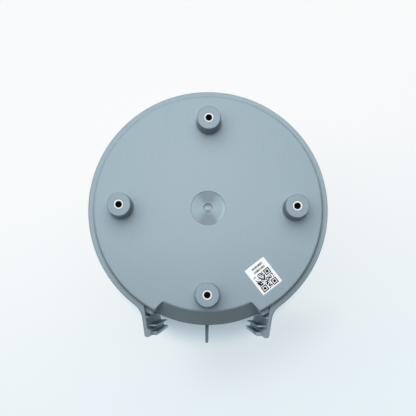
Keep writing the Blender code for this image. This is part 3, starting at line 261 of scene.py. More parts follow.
# Tracks on the circuit board: the angle of their wave for each metre, its wander and its cut
TRACK_SPACING = 2100.0
TRACK_WANDER = 9.0
TRACK_WIDTH = 0.28

# Shade on the floor, in pairs like those of the marks
FLOOR_FAR = (-0.16, 0.10)
FLOOR_SLANT = 0.25
BESIDE_MOUTH = (0.034, 0.046)
BEHIND_MOUTH = (-0.060, -0.050)
CONTACT_RADIUS = 0.074
CONTACT_END = 0.096
CONTACT_TIGHTER = 0.007
CONTACT_SHARE = 0.40
SHADE_RIGHT = (-0.035, 0.020)
SHADE_LOWER = (-0.050, -0.080)
SHADE_REACH = (0.140, 0.095)

# Lamps
KEY_PLACE = (-0.20, 0.42, 1.42)
KEY_SIZE = 1.70
FILL_PLACE = (-0.90, -0.10, 1.10)
FILL_SIZE = 0.80
SHEEN_PLACE = (-0.02, 0.12, 0.75)
SHEEN_SIZE = 0.25
BOUNCE_SIZE = 0.09
BOUNCE_HEIGHT = 0.0030
BOUNCE_REACH = 1.4

# Tints, some of them colours of painted shade and shadow
LAMP_TINT = (0.955, 1.0, 1.03)
SKY_TINT = (0.95, 0.98, 1.0, 1.0)
BOSS_SIDE_SHADE = (0.110, 0.123, 0.128, 1.0)
THREAD_OIL_AND_SHADE = (0.006, 0.006, 0.006, 1.0)
NEAR_FLOOR_SHADOW = (0.68, 0.86, 0.95, 1.0)
LOW_FLOOR_SHADE = (0.855, 0.945, 0.985, 1.0)
DRUM_SHADE = (0.765, 0.846, 0.881, 1.0)
WHITE = (1.0, 1.0, 1.0, 1.0)


def length_setting(name, description, default):
    """Setting for a length."""
    return FloatProperty(name=name, description=description, default=default, unit="LENGTH")


def angle_setting(name, description, degrees):
    """Setting for an angle."""
    return FloatProperty(
        name=name, description=description, default=math.radians(degrees), subtype="ANGLE"
    )


def power_setting(name, description, default):
    """Setting for the power of a lamp."""
    return FloatProperty(name=name, description=description, default=default, unit="POWER")


def colour_setting(name, description, default):
    """Setting for a colour."""
    return FloatVectorProperty(
        name=name, description=description, default=default, size=3, subtype="COLOR"
    )


class HeadSizes(bpy.types.PropertyGroup):
    """Sizes of the outer pieces."""

    rim_radius: length_setting("Rim Radius", "Outer radius of the drum at its rim", SHELL_HIGH.x)
    rim_height: length_setting("Rim Height", "Height of the rim above the front face", SHELL_HIGH.z)
    standoff_height: length_setting("Stand-off Height", "Height of a stand-off above the back face", 0.0150)
    standoff_circle: length_setting("Stand-off Circle", "Radius of the circle of stand-offs", 0.0540)
    standoff_radius: length_setting("Stand-off Radius", "Radius of a stand-off at its top", 0.00725)
    insert_radius: length_setting("Insert Radius", "Outer radius of a threaded insert", 0.00295)
    insert_bore: length_setting("Insert Bore", "Radius of the hole in an insert", 0.0020)
    dish_radius: length_setting("Dish Radius", "Radius of the turned gate mark", 0.0108)
    label_length: length_setting("Sticker Length", "Long side of the sticker", 0.0188)
    label_width: length_setting("Sticker Width", "Short side of the sticker", 0.0147)
    label_centre: FloatVectorProperty(
        name="Sticker Centre", description="Where the sticker sits on the back face",
        default=(0.0344, -0.0418), size=2, unit="LENGTH",
    )
    label_turn: angle_setting("Sticker Turn", "Turn of the sticker's long side from +X", -51.6)
    turning_steps: IntProperty(
        name="Turning Steps", description="Steps round the drum and the back plate", default=192, min=32
    )


class HeadColours(bpy.types.PropertyGroup):
    """Colours of the finishes."""

    housing: colour_setting("Housing", "Moulded housing plastic", (0.313, 0.401, 0.446))
    paper: colour_setting("Sticker", "Sticker paper", (0.97, 0.97, 0.97))
    ink: colour_setting("Ink", "Print on the sticker", (0.006, 0.006, 0.007))
    insert: colour_setting("Insert", "Threaded insert metal", (0.95, 0.97, 0.98))
    steel: colour_setting("Steel", "Plated steel", (0.66, 0.66, 0.64))
    bronze: colour_setting("Bronze", "Bushes and motor pinion", (0.55, 0.36, 0.16))
    gear: colour_setting("Gears", "Gear and cam plastic", (0.80, 0.78, 0.70))
    dark: colour_setting("Dark Plastic", "Switches, relay and capacitor", (0.025, 0.025, 0.028))
    board: colour_setting("Board", "Circuit board laminate", (0.035, 0.17, 0.07))
    terminal: colour_setting("Terminals", "Terminal block and plungers", (0.08, 0.30, 0.13))
    rubber: colour_setting("Rubber", "Cable grommet", (0.018, 0.018, 0.019))
    floor: colour_setting("Floor", "Table under the head", (0.86, 0.89, 0.905))


class HeadStage(bpy.types.PropertyGroup):
    """Camera and light."""

    camera_distance: length_setting("Camera Distance", "From the camera to the middle of the back", 0.497)
    camera_tilt: angle_setting("Camera Tilt", "Lean of the camera towards the mouth", 7.12)
    camera_roll: angle_setting("Camera Roll", "Roll of the camera", 0.52)
    lens: FloatProperty(name="Lens", description="Focal length of the camera", default=69.23)
    sky: FloatProperty(name="Sky", description="Strength of the even light", default=0.06)
    paleness: FloatProperty(
        name="Floor Paleness", description="Share of the floor that looks white to the camera",
        default=0.80, subtype="FACTOR",
    )
    key: power_setting("Key", "Power of the large soft lamp", 22.7)
    bounce: power_setting("Bounce", "Power of the low lamp at the mouth", 0.045)
    sheen: power_setting("Sheen", "Power of the lamp that shows only as a sheen", 3.0)
    fill: power_setting("Fill", "Power of the side lamp", 0.8)


def polar(radius, angle):
    """Point at a radius and an angle from +X."""
    return (radius * math.cos(angle), radius * math.sin(angle))


def step_from(point, distance, angle):
    """Point at a distance and an angle from another point."""
    offset = polar(distance, angle)
    return (point[0] + offset[0], point[1] + offset[1])


def arc(radius, start, end, steps, centre=(0.0, 0.0)):
    """Points along an arc, both ends included."""
    angles = [start + (end - start) * step / steps for step in range(steps + 1)]
    return [step_from(centre, radius, angle) for angle in angles]


def rounded(corners, steps=8):
    """Outline through (x, y, radius) corners, each rounded by an arc of its own radius."""
    outline = []
    for index, (x, y, radius) in enumerate(corners):
        corner = Vector((x, y))
        if radius == 0.0:
            outline.append((x, y))
            continue
        before = (Vector(corners[index - 1][:2]) - corner).normalized()
        after = (Vector(corners[(index + 1) % len(corners)][:2]) - corner).normalized()
        half = before.angle(after) / 2
        centre = corner + (before + after).normalized() * radius / math.sin(half)
        start = corner + before * radius / math.tan(half) - centre
        turn = start.angle_signed(corner + after * radius / math.tan(half) - centre)
        first = math.atan2(start.y, start.x)
        outline += arc(radius, first, first - turn, steps, centre)
    return outline


def mirrored(outline):
    """Outline mirrored across the YZ plane."""
    return [(-x, y) for x, y in outline]


def ring_sector(inner, outer, half_angle, steps, middle=DOWN):
    """Outline of a ring's sector, centred on an angle."""
    near = arc(inner, middle - half_angle, middle + half_angle, steps)
    far = arc(outer, middle + half_angle, middle - half_angle, steps)
    return near + far


def double_d(radius, flat, steps=12):
    """Round outline with two flats, square to X."""
    corner = math.acos(flat / radius)
    upper = arc(radius, corner, math.pi - corner, steps)
    return upper + arc(radius, math.pi + corner, math.tau - corner, steps)


def quarter_points(radius, first):
    """Four points on a circle, the first one at an angle."""
    return [polar(radius, first + index * math.pi / 2) for index in range(4)]


def clear_selection():
    """Leave edit mode and deselect everything."""
    if bpy.context.mode != "OBJECT":
        bpy.ops.object.mode_set(mode="OBJECT")
    bpy.ops.object.select_all(action="DESELECT")


def pick(piece):
    """Select one piece and make it active."""
    clear_selection()
    piece.select_set(True)
    bpy.context.view_layer.objects.active = piece


def draw_chain(name, points):
    """Draw a chain of points by extruding one vertex along them, and stay in edit mode."""
    clear_selection()
    bpy.ops.mesh.primitive_plane_add(size=CUT_OVER, location=points[0])
    piece = bpy.context.active_object
    piece.name = name
    piece.data.name = name
    bpy.ops.object.transform_apply(location=True, rotation=False, scale=False)
    bpy.ops.object.mode_set(mode="EDIT")
    bpy.ops.mesh.select_mode(type="VERT")
    bpy.ops.mesh.select_all(action="SELECT")
    bpy.ops.mesh.merge(type="CENTER")
    for start, end in zip(points, points[1:]):
        step = Vector(end) - Vector(start)
        bpy.ops.mesh.extrude_vertices_move(TRANSFORM_OT_translate={"value": step})
    bpy.ops.mesh.select_all(action="SELECT")
    return piece


def close_mesh():
    """Merge doubles, turn the faces outwards and leave edit mode."""
    bpy.ops.mesh.select_all(action="SELECT")
    bpy.ops.mesh.remove_doubles(threshold=MERGE)
    bpy.ops.mesh.normals_make_consistent(inside=False)
    bpy.ops.object.mode_set(mode="OBJECT")


def spun(name, profile, steps, centre=(0.0, 0.0)):
    """Solid spun about an upright axis from a (radius, height) profile."""
    piece = draw_chain(name, [(centre[0] + radius, centre[1], height) for radius, height in profile])
    middle = (centre[0], centre[1], 0.0)
    bpy.ops.mesh.spin(steps=steps, angle=math.tau, center=middle, axis=(0.0, 0.0, 1.0))
    close_mesh()
    return piece


def cylinder(name, radius, bottom, top, steps, centre=(0.0, 0.0)):
    """Upright cylinder."""
    return spun(name, [(0.0, top), (radius, top), (radius, bottom), (0.0, bottom)], steps, centre)


def raised(name, outline, bottom, top, edge=0.0):
    """Solid extruded from a flat outline, with its upper edge rounded."""
    piece = draw_chain(name, [(x, y, bottom) for x, y in outline])
    bpy.ops.mesh.edge_face_add()
    bpy.ops.mesh.extrude_region_move(TRANSFORM_OT_translate={"value": (0.0, 0.0, top - bottom)})
    if edge:
        bpy.ops.mesh.bevel(offset=edge, segments=3, affect="EDGES", profile=0.5)
    close_mesh()
    return piece


def choose(piece, kind, test):
    """Select the vertices or edges of a piece that pass a test, and stay in edit mode."""
    pick(piece)
    bpy.ops.object.mode_set(mode="EDIT")
    bpy.ops.mesh.select_mode(type=kind)
    bpy.ops.mesh.select_all(action="DESELECT")
    shape = bmesh.from_edit_mesh(piece.data)
    for part in {"VERT": shape.verts, "EDGE": shape.edges}[kind]:
        part.select = test(part)
    shape.select_flush_mode()
    bmesh.update_edit_mesh(piece.data)


def narrowed(piece, rim_height, rim_radius):
    """Narrow a solid towards the front by the drum's own draft."""
    for height in sorted({round(vertex.co.z, 5) for vertex in piece.data.vertices}):
        choose(piece, "VERT", lambda vertex: abs(vertex.co.z - height) < MERGE * 10)
        share = 1 - DRAFT / rim_radius * (rim_height - height) / rim_height
        bpy.ops.transform.resize(value=(share, share, 1.0), center_override=(0.0, 0.0, height))
    close_mesh()
    return piece


def flared(piece, share, height):
    """Make a solid narrower in X below a height."""
    choose(piece, "VERT", lambda vertex: vertex.co.z < height)
    bpy.ops.transform.resize(value=(share, 1.0, 1.0), center_override=(0.0, 0.0, height))
    close_mesh()
    return piece


def turned_over(piece, angle, axis, place):
    """Turn a solid about one axis, move it, and keep its place in its mesh."""
    pick(piece)
    bpy.ops.object.mode_set(mode="EDIT")
    bpy.ops.mesh.select_all(action="SELECT")
    bpy.ops.transform.rotate(value=angle, orient_axis=axis, center_override=(0.0, 0.0, 0.0))
    bpy.ops.transform.translate(value=place)
    close_mesh()
    return piece


def boolean(piece, operation, tools):
    """Apply one Boolean modifier for each tool, and remove the tools."""
    for tool in tools:
        pick(piece)
        bpy.ops.object.modifier_add(type="BOOLEAN")
        modifier = piece.modifiers[-1]
        modifier.operation = operation
        modifier.object = tool
        bpy.ops.object.modifier_apply(modifier=modifier.name)
        bpy.data.objects.remove(tool, do_unlink=True)
    return piece


def add(piece, *tools):
    """Unite solids with a piece."""
    return boolean(piece, "UNION", tools)


def cut(piece, *tools):
    """Cut solids out of a piece."""
    return boolean(piece, "DIFFERENCE", tools)


def keep_inside(piece, tool):
    """Keep only what a piece shares with a solid."""
    return boolean(piece, "INTERSECT", [tool])


def soften(piece, test, width, segments):
    """Round the edges of a piece that pass a test."""
    choose(piece, "EDGE", test)
    bpy.ops.mesh.bevel(offset=width, segments=segments, affect="EDGES", profile=0.5)
    bpy.ops.object.mode_set(mode="OBJECT")
    return piece


def smooth(piece):
    """Shade a piece smooth up to an angle, with large faces ruling the normals."""
    pick(piece)
    bpy.ops.object.shade_smooth_by_angle(angle=SMOOTH_ANGLE)
    bpy.ops.object.modifier_add(type="WEIGHTED_NORMAL")
    modifier = piece.modifiers[-1]
    modifier.keep_sharp = True
    bpy.ops.object.modifier_apply(modifier=modifier.name)
    return piece


def dress(piece, material, body, slot, *nodes):
    """Give a finished piece its material, the body it moves with and the solids it stands for."""
    piece.data.materials.clear()
    piece.data.materials.append(material)
    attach(piece, body)
    if nodes:
        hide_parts(*nodes)
    return piece


def maths(operation, swapped=False):
    """Method that does one sum with a shader socket, which comes second if swapped."""

    def act(self, other=0.0):
        first, second = (other, self) if swapped else (self, other)
        return self.finish.node("ShaderNodeMath", {"operation": operation}, {0: first, 1: second})

    return act


class Value:
    """One shader socket that Python's operators act on."""

    def __init__(self, finish, socket):
        self.finish = finish
        self.socket = socket

    __add__ = maths("ADD")
    __radd__ = maths("ADD", swapped=True)
    __sub__ = maths("SUBTRACT")
    __rsub__ = maths("SUBTRACT", swapped=True)
    __mul__ = maths("MULTIPLY")
    __rmul__ = maths("MULTIPLY", swapped=True)
    __truediv__ = maths("DIVIDE")
    __rtruediv__ = maths("DIVIDE", swapped=True)
    __lt__ = maths("LESS_THAN")
    __gt__ = maths("GREATER_THAN")
    __abs__ = maths("ABSOLUTE")
    __floor__ = maths("FLOOR")
    larger = maths("MAXIMUM")
    smaller = maths("MINIMUM")
    root = maths("SQRT")
    sine = maths("SINE")

    def part(self, name):
        """Another output of the same node."""
        return Value(self.finish, self.socket.node.outputs[name])


class Finish:
    """Node tree of one material, or of the world."""

    def __init__(self, target):
        if isinstance(target, str):
            target = bpy.data.materials.new(target)
            target.use_nodes = True
        self.material = target
        self.tree = target.node_tree
        self.surface = self.tree.nodes.get("Principled BSDF")

    def feed(self, socket, value):
        """Link a value to a socket, or set the socket to a number or a colour."""
        if isinstance(value, Value):
            self.tree.links.new(value.socket, socket)
        else:
            socket.default_value = value

    def node(self, kind, settings, inputs, output=0):
        """Add a node: its settings first, then the values or links of its sockets."""
        made = self.tree.nodes.new(kind)
        for name, setting in settings.items():
            setattr(made, name, setting)
        for name, value in inputs.items():
            self.feed(made.inputs[name], value)
        return Value(self, made.outputs[output])

    def place(self):
        """Place on the piece, in metres."""
        return self.node("ShaderNodeTexCoord", {}, {}, "Object")

    def seen_from(self, place, centre=(0.0, 0.0, 0.0), turn=0.0, size=(1.0, 1.0, 1.0)):
        """Place as seen from a centre, turned about Z and measured in a size of its own."""
        inputs = {"Vector": place, "Location": centre, "Rotation": (0.0, 0.0, turn), "Scale": size}
        return self.node("ShaderNodeMapping", {"vector_type": "TEXTURE"}, inputs)

    def seen(self):
        """1 where the camera, or a mirror or glass before it, looks, and 0 for the light on things."""
        straight = self.node("ShaderNodeLightPath", {}, {}, "Is Camera Ray")
        return straight.larger(straight.part("Is Glossy Ray")).larger(straight.part("Is Transmission Ray"))

    def split(self, place):
        """X, Y and Z of a place."""
        first = self.node("ShaderNodeSeparateXYZ", {}, {"Vector": place}, "X")
        return first, first.part("Y"), first.part("Z")

    def noise(self, place, scale, detail=2.0, roughness=0.5):
        """Soft noise from 0 to 1."""
        inputs = {"Vector": place, "Scale": scale, "Detail": detail, "Roughness": roughness}
        return self.node("ShaderNodeTexNoise", {}, inputs, "Fac")

    def ramp(self, value, start, end):
        """Share that goes smoothly from 0 at one value to 1 at another."""
        inputs = {"Value": value, "From Min": start, "From Max": end}
        return self.node("ShaderNodeMapRange", {"interpolation_type": "SMOOTHSTEP"}, inputs)

    def mix(self, share, first, second):
        """Colour between two colours."""
        inputs = {0: share, 6: first, 7: second}
        return self.node("ShaderNodeMix", {"data_type": "RGBA", "clamp_factor": True}, inputs, 2)

    def marked(self, tone, colour, marks):
        """Colour with marks on it: where each lies, how strongly it shows, and its lightness."""
        for share, strength, lightness in marks:
            tone = self.mix(share * strength, tone, shade(colour, lightness))
        return tone

    def chance(self, column, row, seed):
        """Number from 0 to 1 that is the same all over a cell."""
        cell = self.node("ShaderNodeCombineXYZ", {}, {"X": column, "Y": row, "Z": seed})
        return self.node("ShaderNodeTexWhiteNoise", {"noise_dimensions": "3D"}, {"Vector": cell}, "Value")

    def bump(self, height, strength, distance, normal=None):
        """Normal raised by a height."""
        inputs = {"Height": height, "Strength": strength, "Distance": distance}
        if normal is not None:
            inputs["Normal"] = normal
        return self.node("ShaderNodeBump", {}, inputs, "Normal")

    def set(self, **values):
        """Set or link the surface shader's sockets, named with underscores for spaces."""
        for name, value in values.items():
            self.feed(self.surface.inputs[name.replace("_", " ")], value)
        return self.material


def shade(colour, factor):
    """Colour made darker or lighter, with full alpha."""
    return tuple(min(1.0, part * factor) for part in colour) + (1.0,)


def scratches(finish, place, turn, length, width, share):
    """Thin scratches that run one way."""
    along = finish.seen_from(place, turn=turn, size=(length, width, length))
    lines = finish.noise(along, scale=1.0, detail=1.0)
    return finish.ramp(lines, 0.80 - share, 0.86 - share)


def shell_marks(finish, place, colour, tone):
    """Marks of the drum: its rim is a little darker on the left, and has painted shadow along its lower
    side.
    """
    x, y, z = finish.split(place)
    rim = finish.ramp(z, *RIM_TOP)
    return finish.marked(tone, colour, (
        (rim * finish.ramp(x, *RIM_LEFT), 1.0, 0.91),
        # Painted shadow: the rim darker along its lower side, below the back plate's raised edge.
        (rim * finish.ramp(x * LOWER_SLANT - y, *RIM_SHADE_LOWER), 1.0, 0.64),
    ))


def face_marks(finish, place, colour, tone, rough, normal):
    """Marks of the back face: streaks, turned gate mark, painted highlights, painted shade on stand-offs,
    edge and facet.
    """
    x, y, z = finish.split(place)
    radius = (x * x + y * y).root()
    on_face = finish.ramp(z, *ON_FACE)
    flow = finish.seen_from(place, turn=STREAK_TURN, size=STREAK_SIZE)
    streaks = finish.noise(flow, scale=1.0, detail=3.0)
    sweep = finish.ramp(finish.noise(place, scale=20.0, detail=2.0), 0.45, 0.62)
    tone = finish.marked(tone, colour, (
        (finish.ramp(streaks, 0.54, 0.72) * sweep, 0.30, 0.86),
        (finish.ramp(streaks, 0.46, 0.30) * sweep, 0.20, 1.14),
        # Painted shade: the back face darker towards its lower side.
        (on_face * finish.ramp(y, *FACE_SHADE_LOWER), 1.0, 0.90),
    ))
    # Painted shade: the stand-offs' sides darker and greyer than the face.
    tone = finish.mix(finish.ramp(z, *ON_STANDOFF) * SIDE_SHADE_SHARE, tone, BOSS_SIDE_SHADE)
    dish = finish.ramp(radius, *IN_DISH) * on_face
    spread = (x * x - y * y) / (radius * radius + DISH_MIDDLE_AREA)
    outward = finish.node("ShaderNodeCombineXYZ", {}, {"X": radius * TURNED_LINES})
    turning = finish.noise(outward, scale=1.0, detail=1.0)
    painted_crescent = finish.ramp(radius, *CRESCENT_BAND) * finish.ramp(x - y * CRESCENT_SLANT, *CRESCENT_SIDE)
    painted_collar = finish.ramp(abs(radius - COLLAR_RADIUS), *COLLAR_LINE) * on_face
    outline = finish.ramp(abs(radius - OUTLINE_RADIUS), *OUTLINE_LINE) * on_face
    dimple = finish.ramp(abs(radius - DIMPLE_LINE_RADIUS), *DIMPLE_LINE) * on_face
    edge = finish.ramp(radius, *EDGE_SHADE_BAND) * finish.ramp(x * LOWER_SLANT - y, *EDGE_SHADE_LOWER)
    facet = finish.ramp(z, *BELOW_FACE) * finish.ramp(y, *FACET_START) * finish.ramp(radius, *FACET_END)
    tone = finish.marked(tone, colour, (
        (finish.ramp(z, *STANDOFF_TOP), 1.0, 0.82),
        # Painted highlights and shade of the turned gate mark: darker above and below, lighter at the
        # sides, with a light crescent and collar.
        (dish * finish.ramp(spread, 0.35, -0.85), 0.90, 0.60),
        (dish * finish.ramp(spread, 0.30, 1.0), 0.60, 1.18),
        (dish * painted_crescent, 0.8, 1.40),
        (painted_collar, 0.4, 1.25),
        (dish * finish.ramp(turning, 0.40, 0.65), 0.18, 1.16),
        (outline, 0.3, 0.70),
        # Painted shade on the dimple's upper side, and a painted highlight on the nib.
        (dimple * finish.ramp(y, *DIMPLE_SHADE_UPPER), 0.8, 0.42),
        (finish.ramp(radius, *NIB_HIGHLIGHT) * on_face, 1.0, 1.55),
        # Painted shade: the plate's edge darker along its lower side, the facet darker, and its lip darker
        # still.
        (edge, 1.0, 0.55),
        (facet, 1.0, 0.67),
        (facet * finish.ramp(radius, *LIP_SHADE_BAND), 1.0, 0.34),
    ))
    normal = finish.bump(turning * dish, strength=0.35, distance=0.00005, normal=normal)
    return tone, rough + dish * 0.14, normal


def moulded_plastic(name, colour, with_face_marks):
    """Matt moulded housing plastic: fine grain, soft mottling, scuffs, and the marks of its piece."""
    finish = Finish(name)
    place = finish.place()
    mottle = finish.noise(place, scale=22.0, detail=4.0, roughness=0.55)
    cloud = finish.noise(place, scale=7.0, detail=2.0)
    speckle = finish.ramp(finish.noise(place, scale=1300.0, detail=1.0), 0.35, 0.65)
    scuffed = finish.ramp(finish.noise(place, scale=45.0, detail=2.0), 0.50, 0.68)
    scuffs = scratches(finish, place, math.radians(24.0), 0.0300, 0.00035, 0.08)
    scuffs = scuffs.larger(scratches(finish, place, math.radians(-38.0), 0.0220, 0.00030, 0.06)) * scuffed
    cells = finish.node(
        "ShaderNodeTexVoronoi", {"feature": "F1"}, {"Vector": place, "Scale": 420.0}, "Distance"
    )
    specks = finish.ramp(cells, 0.10, 0.06) * finish.ramp(finish.noise(place, scale=160.0), 0.60, 0.66)
    tone = finish.mix(mottle, shade(colour, 0.955), shade(colour, 1.045))
    tone = finish.marked(tone, colour, (
        (cloud, 0.5, 1.02),
        (speckle, 0.35, 0.92),
        (scuffs, 0.35, 1.30),
        (specks, 0.35, 1.25),
    ))
    rough = 0.40 + mottle * 0.08 - scuffs * 0.06
    grain = finish.noise(place, scale=2400.0, detail=2.0, roughness=0.6)
    normal = finish.bump(grain, strength=0.10, distance=0.00004)
    if with_face_marks:
        tone, rough, normal = face_marks(finish, place, colour, tone, rough, normal)
    else:
        tone = shell_marks(finish, place, colour, tone)
    return finish.set(Base_Color=tone, Roughness=rough, Normal=normal, IOR=1.50, Specular_IOR_Level=0.25)


def sticker_paper(name, paper, ink, centre, turn):
    """White sticker with a made-up square pattern and two rows of short printed blocks."""
    finish = Finish(name)
    along, across = finish.split(finish.seen_from(finish.place(), (*centre, 0.0), turn))[:2]
    half = CODE_MODULES * CODE_MODULE / 2
    column = (along - CODE_CENTRE[0] + half) / CODE_MODULE
    row = (across - CODE_CENTRE[1] + half) / CODE_MODULE
    middle = CODE_MODULES / 2
    inside = abs(column - middle).larger(abs(row - middle)) < middle
    single = finish.chance(math.floor(column), math.floor(row), CODE_SEED)
    cluster = finish.chance(math.floor(column / 2), math.floor(row / 2), CLUSTER_SEED)
    pattern = (single * 0.6 + cluster * 0.4 > CODE_LEVEL) * inside
    near = SQUARE_MIDDLE
    far = CODE_MODULES - SQUARE_MIDDLE
    for square_column, square_row in ((near, far), (far, far), (far, near)):
        reach = abs(column - square_column).larger(abs(row - square_row))
        ring = (reach < SQUARE_RING[1]) * (reach > SQUARE_RING[0])
        pattern = (pattern * (reach > SQUARE_CLEAR)).larger(ring).larger(reach < SQUARE_CORE)
    for index, row_place in enumerate(PRINT_ROWS):
        on_row = abs(along - row_place) < PRINT_ROW_HEIGHT / 2
        on_row = on_row * (abs(across - PRINT_ROW_MIDDLE) < PRINT_ROW_LENGTH / 2)
        weight = finish.chance(math.floor(across / PRINT_BLOCK), PRINT_FIRST_CELL + index, PRINT_SEED)
        stroke = abs((along - row_place) / PRINT_ROW_HEIGHT + weight * 0.5 - 0.25) > STROKE_HALF
        blackness = PRINT_LEAST + weight * (1 - PRINT_LEAST)
        pattern = pattern.larger(on_row * blackness * (STROKE_LEAST + stroke * (1 - STROKE_LEAST)))
    fibre = finish.noise(finish.place(), scale=900.0, detail=3.0)
    tone = finish.mix(fibre, shade(paper, 0.97), shade(paper, 1.02))
    tone = finish.mix(pattern, tone, shade(ink, 1.0))
    rough = 0.40 + pattern * 0.50
    normal = finish.bump(fibre, strength=0.05, distance=0.00003)
    return finish.set(Base_Color=tone, Roughness=rough, Normal=normal, Specular_IOR_Level=0.32)


def turned_metal(name, colour, roughness):
    """Bright or plated metal with fine tool marks and a little tarnish."""
    finish = Finish(name)
    place = finish.place()
    tarnish = finish.noise(place, scale=260.0, detail=3.0)
    lines = finish.noise(finish.seen_from(place, size=(0.016, 0.016, 0.0002)), scale=1.0, detail=1.0)
    tone = finish.mix(tarnish, shade(colour, 0.88), shade(colour, 1.05))
    rough = roughness + tarnish * 0.10 + lines * 0.06
    normal = finish.bump(lines, strength=0.10, distance=0.00003)
    return finish.set(Base_Color=tone, Roughness=rough, Metallic=1.0, Normal=normal)


def insert_metal(name, colour, sizes, top):
    """Bright insert with a dark thread inside its bore, oily and with painted shade."""
    finish = Finish(name)
    place = finish.place()
    x, y, z = finish.split(place)
    along = abs(x).larger(abs(y)) - sizes.standoff_circle
    across = abs(x).smaller(abs(y))
    radius = (along * along + across * across).root()
    bore = sizes.insert_bore
    thread = finish.ramp(radius, bore + THREAD_DEPTH * 1.4, bore + THREAD_DEPTH)
    thread = thread * finish.ramp(z, top - INSERT_CHAMFER, top - INSERT_CHAMFER * 2)
    tarnish = finish.noise(place, scale=900.0, detail=2.0)
    tone = finish.mix(tarnish, shade(colour, 0.90), shade(colour, 1.06))
    # The thread in the bore is near black: oil, and painted shade of the deep bore.
    tone = finish.mix(thread, tone, THREAD_OIL_AND_SHADE)
    rough = 0.20 + tarnish * 0.12 + thread * 0.40
    return finish.set(Base_Color=tone, Roughness=rough, Metallic=1.0 - thread)


def plain_plastic(name, colour, roughness, grain_scale=1800.0):
    """Moulded technical plastic with grain and soft mottling."""
    finish = Finish(name)
    place = finish.place()
    mottle = finish.noise(place, scale=90.0, detail=3.0)
    grain = finish.noise(place, scale=grain_scale, detail=2.0)
    tone = finish.mix(mottle, shade(colour, 0.90), shade(colour, 1.08))
    rough = roughness + mottle * 0.10
    normal = finish.bump(grain, strength=0.12, distance=0.00004)
    return finish.set(Base_Color=tone, Roughness=rough, Normal=normal)


def board_laminate(name, colour):
    """Circuit board with fine tracks under its mask."""
    finish = Finish(name)
    place = finish.place()
    x = finish.split(place)[0]
    weave = finish.noise(place, scale=1600.0, detail=1.0)
    wander = finish.noise(place, scale=70.0, detail=0.0) * TRACK_WANDER
    tracks = abs((x * TRACK_SPACING + wander).sine()) < TRACK_WIDTH
    tracks = tracks * finish.ramp(finish.noise(place, scale=55.0, detail=0.0), 0.48, 0.52)
    tone = finish.mix(weave, shade(colour, 0.90), shade(colour, 1.10))
    tone = finish.mix(tracks * 0.8, tone, shade(colour, 1.9))
    rough = 0.35 + weave * 0.1
    normal = finish.bump(tracks, strength=0.2, distance=0.00005)
    return finish.set(Base_Color=tone, Roughness=rough, Normal=normal)


def head_sizes():
    """Sizes of the outer pieces, as set in the scene."""
    return bpy.context.scene.actuator_head_sizes


def head_colours():
    """Colours of the finishes, as set in the scene."""
    return bpy.context.scene.actuator_head_colours


def housing_finish(name, tint=1.0, with_face_marks=False):
    """Housing plastic in the scene's colour, or a tint of it."""
    return moulded_plastic(name, shade(head_colours().housing, tint)[:3], with_face_marks)


def ear_outline(rim_radius):
    """Left ear: a leaning wall that flows out of the rim and ends in an inward foot."""
    lean = math.tan(EAR_LEAN)
    wall = EAR_WALL / math.cos(EAR_LEAN)
    tip = -rim_radius - EAR_DROP

    def outer_x(y):
        return -EAR_HALF_SPREAD - (y - tip) * lean

    # The fillet's centre is its own radius away from both the rim circle and the ear's outer side.
    along = Vector((-math.sin(EAR_LEAN), math.cos(EAR_LEAN)))
    outward = Vector((-math.cos(EAR_LEAN), -math.sin(EAR_LEAN)))
    foot = Vector((-EAR_HALF_SPREAD, tip)) + outward * EAR_FILLET
    middle = foot.dot(along)
    climb = -middle - math.sqrt(middle ** 2 - foot.length_squared + (rim_radius + EAR_FILLET) ** 2)
    centre = foot + along * climb
    start = math.atan2(-centre.y, -centre.x)
    end = math.atan2(-outward.y, -outward.x)
    fillet = arc(EAR_FILLET, start, end, 16, centre)
    anchor = centre.normalized() * (rim_radius - RIM_WIDTH / 2)
    seat = rim_radius - RIM_WIDTH + 2 * FIT
    inner_y = -math.sqrt(seat ** 2 - (EAR_HALF_SPREAD + EAR_FILLET / 6) ** 2)
    foot_top = tip + FOOT_HEIGHT
    foot_inner = -EAR_HALF_SPREAD + FOOT_WIDTH
    hook = rounded([
        (*fillet[-1], 0.0),
        (-EAR_HALF_SPREAD, tip, FOOT_ROUND),
        (foot_inner - FOOT_ROUND * 0.4, tip, FOOT_ROUND * 0.6),
        (foot_inner, foot_top, FOOT_ROUND * 0.4),
        (outer_x(foot_top + FOOT_SLOPE) + wall, foot_top + FOOT_SLOPE, FOOT_ROUND * 0.5),
        (outer_x(inner_y) + wall, inner_y, 0.0),
    ])
    return [tuple(anchor)] + fillet[:-1] + hook


def rail_outlines(rim_radius):
    """Guide rail on the left foot and the rib above it, with the groove between them."""
    tip = -rim_radius - EAR_DROP
    foot_inner = -EAR_HALF_SPREAD + FOOT_WIDTH
    rail_inner = foot_inner + RAIL_WIDTH
    rail_low = tip + FOOT_ROUND * 0.3
    rail_high = rail_low + RAIL_HEIGHT
    rib_low = rail_high + RIB_ABOVE_RAIL
    rib_high = rib_low + RIB_HEIGHT
    wall_x = -EAR_HALF_SPREAD + EAR_WALL / 2
    rib_root = wall_x - (rib_low - tip) * math.tan(EAR_LEAN)
    corner = RIB_HEIGHT * 0.4
    rail = rounded([
        (wall_x, rail_low, 0.0),
        (rail_inner, rail_low, corner),
        (rail_inner, rail_high, corner),
        (wall_x, rail_high, 0.0),
    ])
    rib = rounded([
        (rib_root, rib_low, 0.0),
        (foot_inner + RIB_WIDTH, rib_low, corner),
        (foot_inner + RIB_WIDTH, rib_high, corner),
        (rib_root, rib_high, 0.0),
    ])
    return rail, rib


